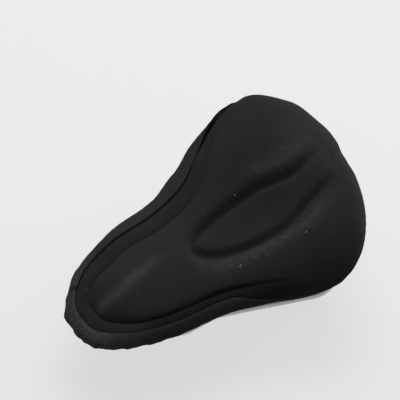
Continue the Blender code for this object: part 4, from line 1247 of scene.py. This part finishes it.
# Painted light: the floor's glow turns to this, a little cooler, towards the lamps
FAR_GLOW = (0.810, 0.810, 0.815)  # towards the lamps
ROOM_LIGHT = 0.42
AIM_POINT = Vector((0.0, 0.0, 0.08))

# Name, place, width and power of each soft lamp
LAMPS = (("top_lamp", (-0.55, -0.75, 1.80), 1.2, 34.0), ("tail_lamp", (-1.45, -0.10, 0.95), 0.9, 8.0))

# The photo's view: degrees, metres, and pixels of the photo
VIEW_ELEVATION = 53.5
VIEW_AZIMUTH = 147.2
VIEW_DISTANCE = 2.72
VIEW_SUBJECT = Vector((0.0, 0.0, 0.095))
VIEW_PIXEL = (207.0, 236.2)
PIXELS_PER_METRE = 1136.0
PHOTO_PIXELS = 400.0
SENSOR_WIDTH = 36.0


def add_lamps():
    """Soft lamps aimed at the saddle."""
    for name, spot, width, power in LAMPS:
        bpy.ops.object.light_add(type="AREA", location=spot)
        lamp = bpy.context.object
        lamp.name = name
        lamp.data.size = width
        lamp.data.energy = power
        lamp.rotation_euler = (AIM_POINT - Vector(spot)).to_track_quat("-Z", "Y").to_euler()


def add_camera():
    """Camera that sees the saddle as the photo does."""
    elevation = math.radians(VIEW_ELEVATION)
    azimuth = math.radians(VIEW_AZIMUTH)
    back = Vector((math.sin(azimuth) * math.cos(elevation), -math.cos(azimuth) * math.cos(elevation),
                   math.sin(elevation)))
    right = Vector((math.cos(azimuth), math.sin(azimuth), 0.0))
    up = back.cross(right)
    middle = PHOTO_PIXELS / 2.0
    target = VIEW_SUBJECT + right * (middle - VIEW_PIXEL[0]) / PIXELS_PER_METRE
    target += up * (VIEW_PIXEL[1] - middle) / PIXELS_PER_METRE
    bpy.ops.object.camera_add(location=target + back * VIEW_DISTANCE)
    camera = bpy.context.object
    camera.name = "photo_camera"
    camera.rotation_euler = (-back).to_track_quat("-Z", "Y").to_euler()
    camera.data.sensor_width = SENSOR_WIDTH
    camera.data.lens = PIXELS_PER_METRE * VIEW_DISTANCE * SENSOR_WIDTH / PHOTO_PIXELS
    camera.data.clip_start = 0.05
    return camera


class SADDLE_OT_stage(bpy.types.Operator):
    """Set up the pale floor, the soft light and the camera"""
    bl_idname = "saddle.stage"
    bl_label = "Stage"

    def execute(self, context):
        size = context.scene.saddle_sizes
        deselect()
        bpy.ops.mesh.primitive_plane_add(size=FLOOR_WIDTH, location=(0.0, 0.0, 0.0))
        floor = context.object
        floor.name = "floor"
        set_material(floor, floor_material("pale_floor", tuple(size.floor_colour)))
        world = bpy.data.worlds.new("soft_room")
        context.scene.world = world
        world.use_nodes = True
        room = world.node_tree.nodes["Background"]
        room.inputs["Color"].default_value = (1.0, 1.0, 1.0, 1.0)
        room.inputs["Strength"].default_value = ROOM_LIGHT
        add_lamps()
        context.scene.camera = add_camera()
        context.scene.view_settings.view_transform = "Standard"
        return {"FINISHED"}


class SADDLE_PT_panel(bpy.types.Panel):
    """Pieces of the covered saddle"""
    bl_label = "Covered saddle"
    bl_idname = "SADDLE_PT_panel"
    bl_space_type = "VIEW_3D"
    bl_region_type = "UI"
    bl_category = "Saddle"

    def draw(self, context):
        size = context.scene.saddle_sizes
        for name in SaddleSizes.__annotations__:
            self.layout.prop(size, name)
        for operator in OPERATORS:
            self.layout.operator(operator.bl_idname)


OPERATORS = (SADDLE_OT_padded_panel, SADDLE_OT_side_skirt, SADDLE_OT_seam_stitches, SADDLE_OT_lint,
             SADDLE_OT_finishes, SADDLE_OT_stage)


def register():
    """Register the settings, operators and panel."""
    for item in (SaddleSizes, *OPERATORS, SADDLE_PT_panel):
        bpy.utils.register_class(item)
    bpy.types.Scene.saddle_sizes = bpy.props.PointerProperty(type=SaddleSizes)


def unregister():
    """Take the settings, operators and panel away."""
    del bpy.types.Scene.saddle_sizes
    for item in (SADDLE_PT_panel, *reversed(OPERATORS), SaddleSizes):
        bpy.utils.unregister_class(item)


def main():
    """Build every piece."""
    register()
    bpy.ops.saddle.stage()
    bpy.ops.saddle.padded_panel()
    bpy.ops.saddle.side_skirt()
    bpy.ops.saddle.seam_stitches()
    bpy.ops.saddle.lint()
    bpy.ops.saddle.finishes()


if __name__ == "__main__":
    main()
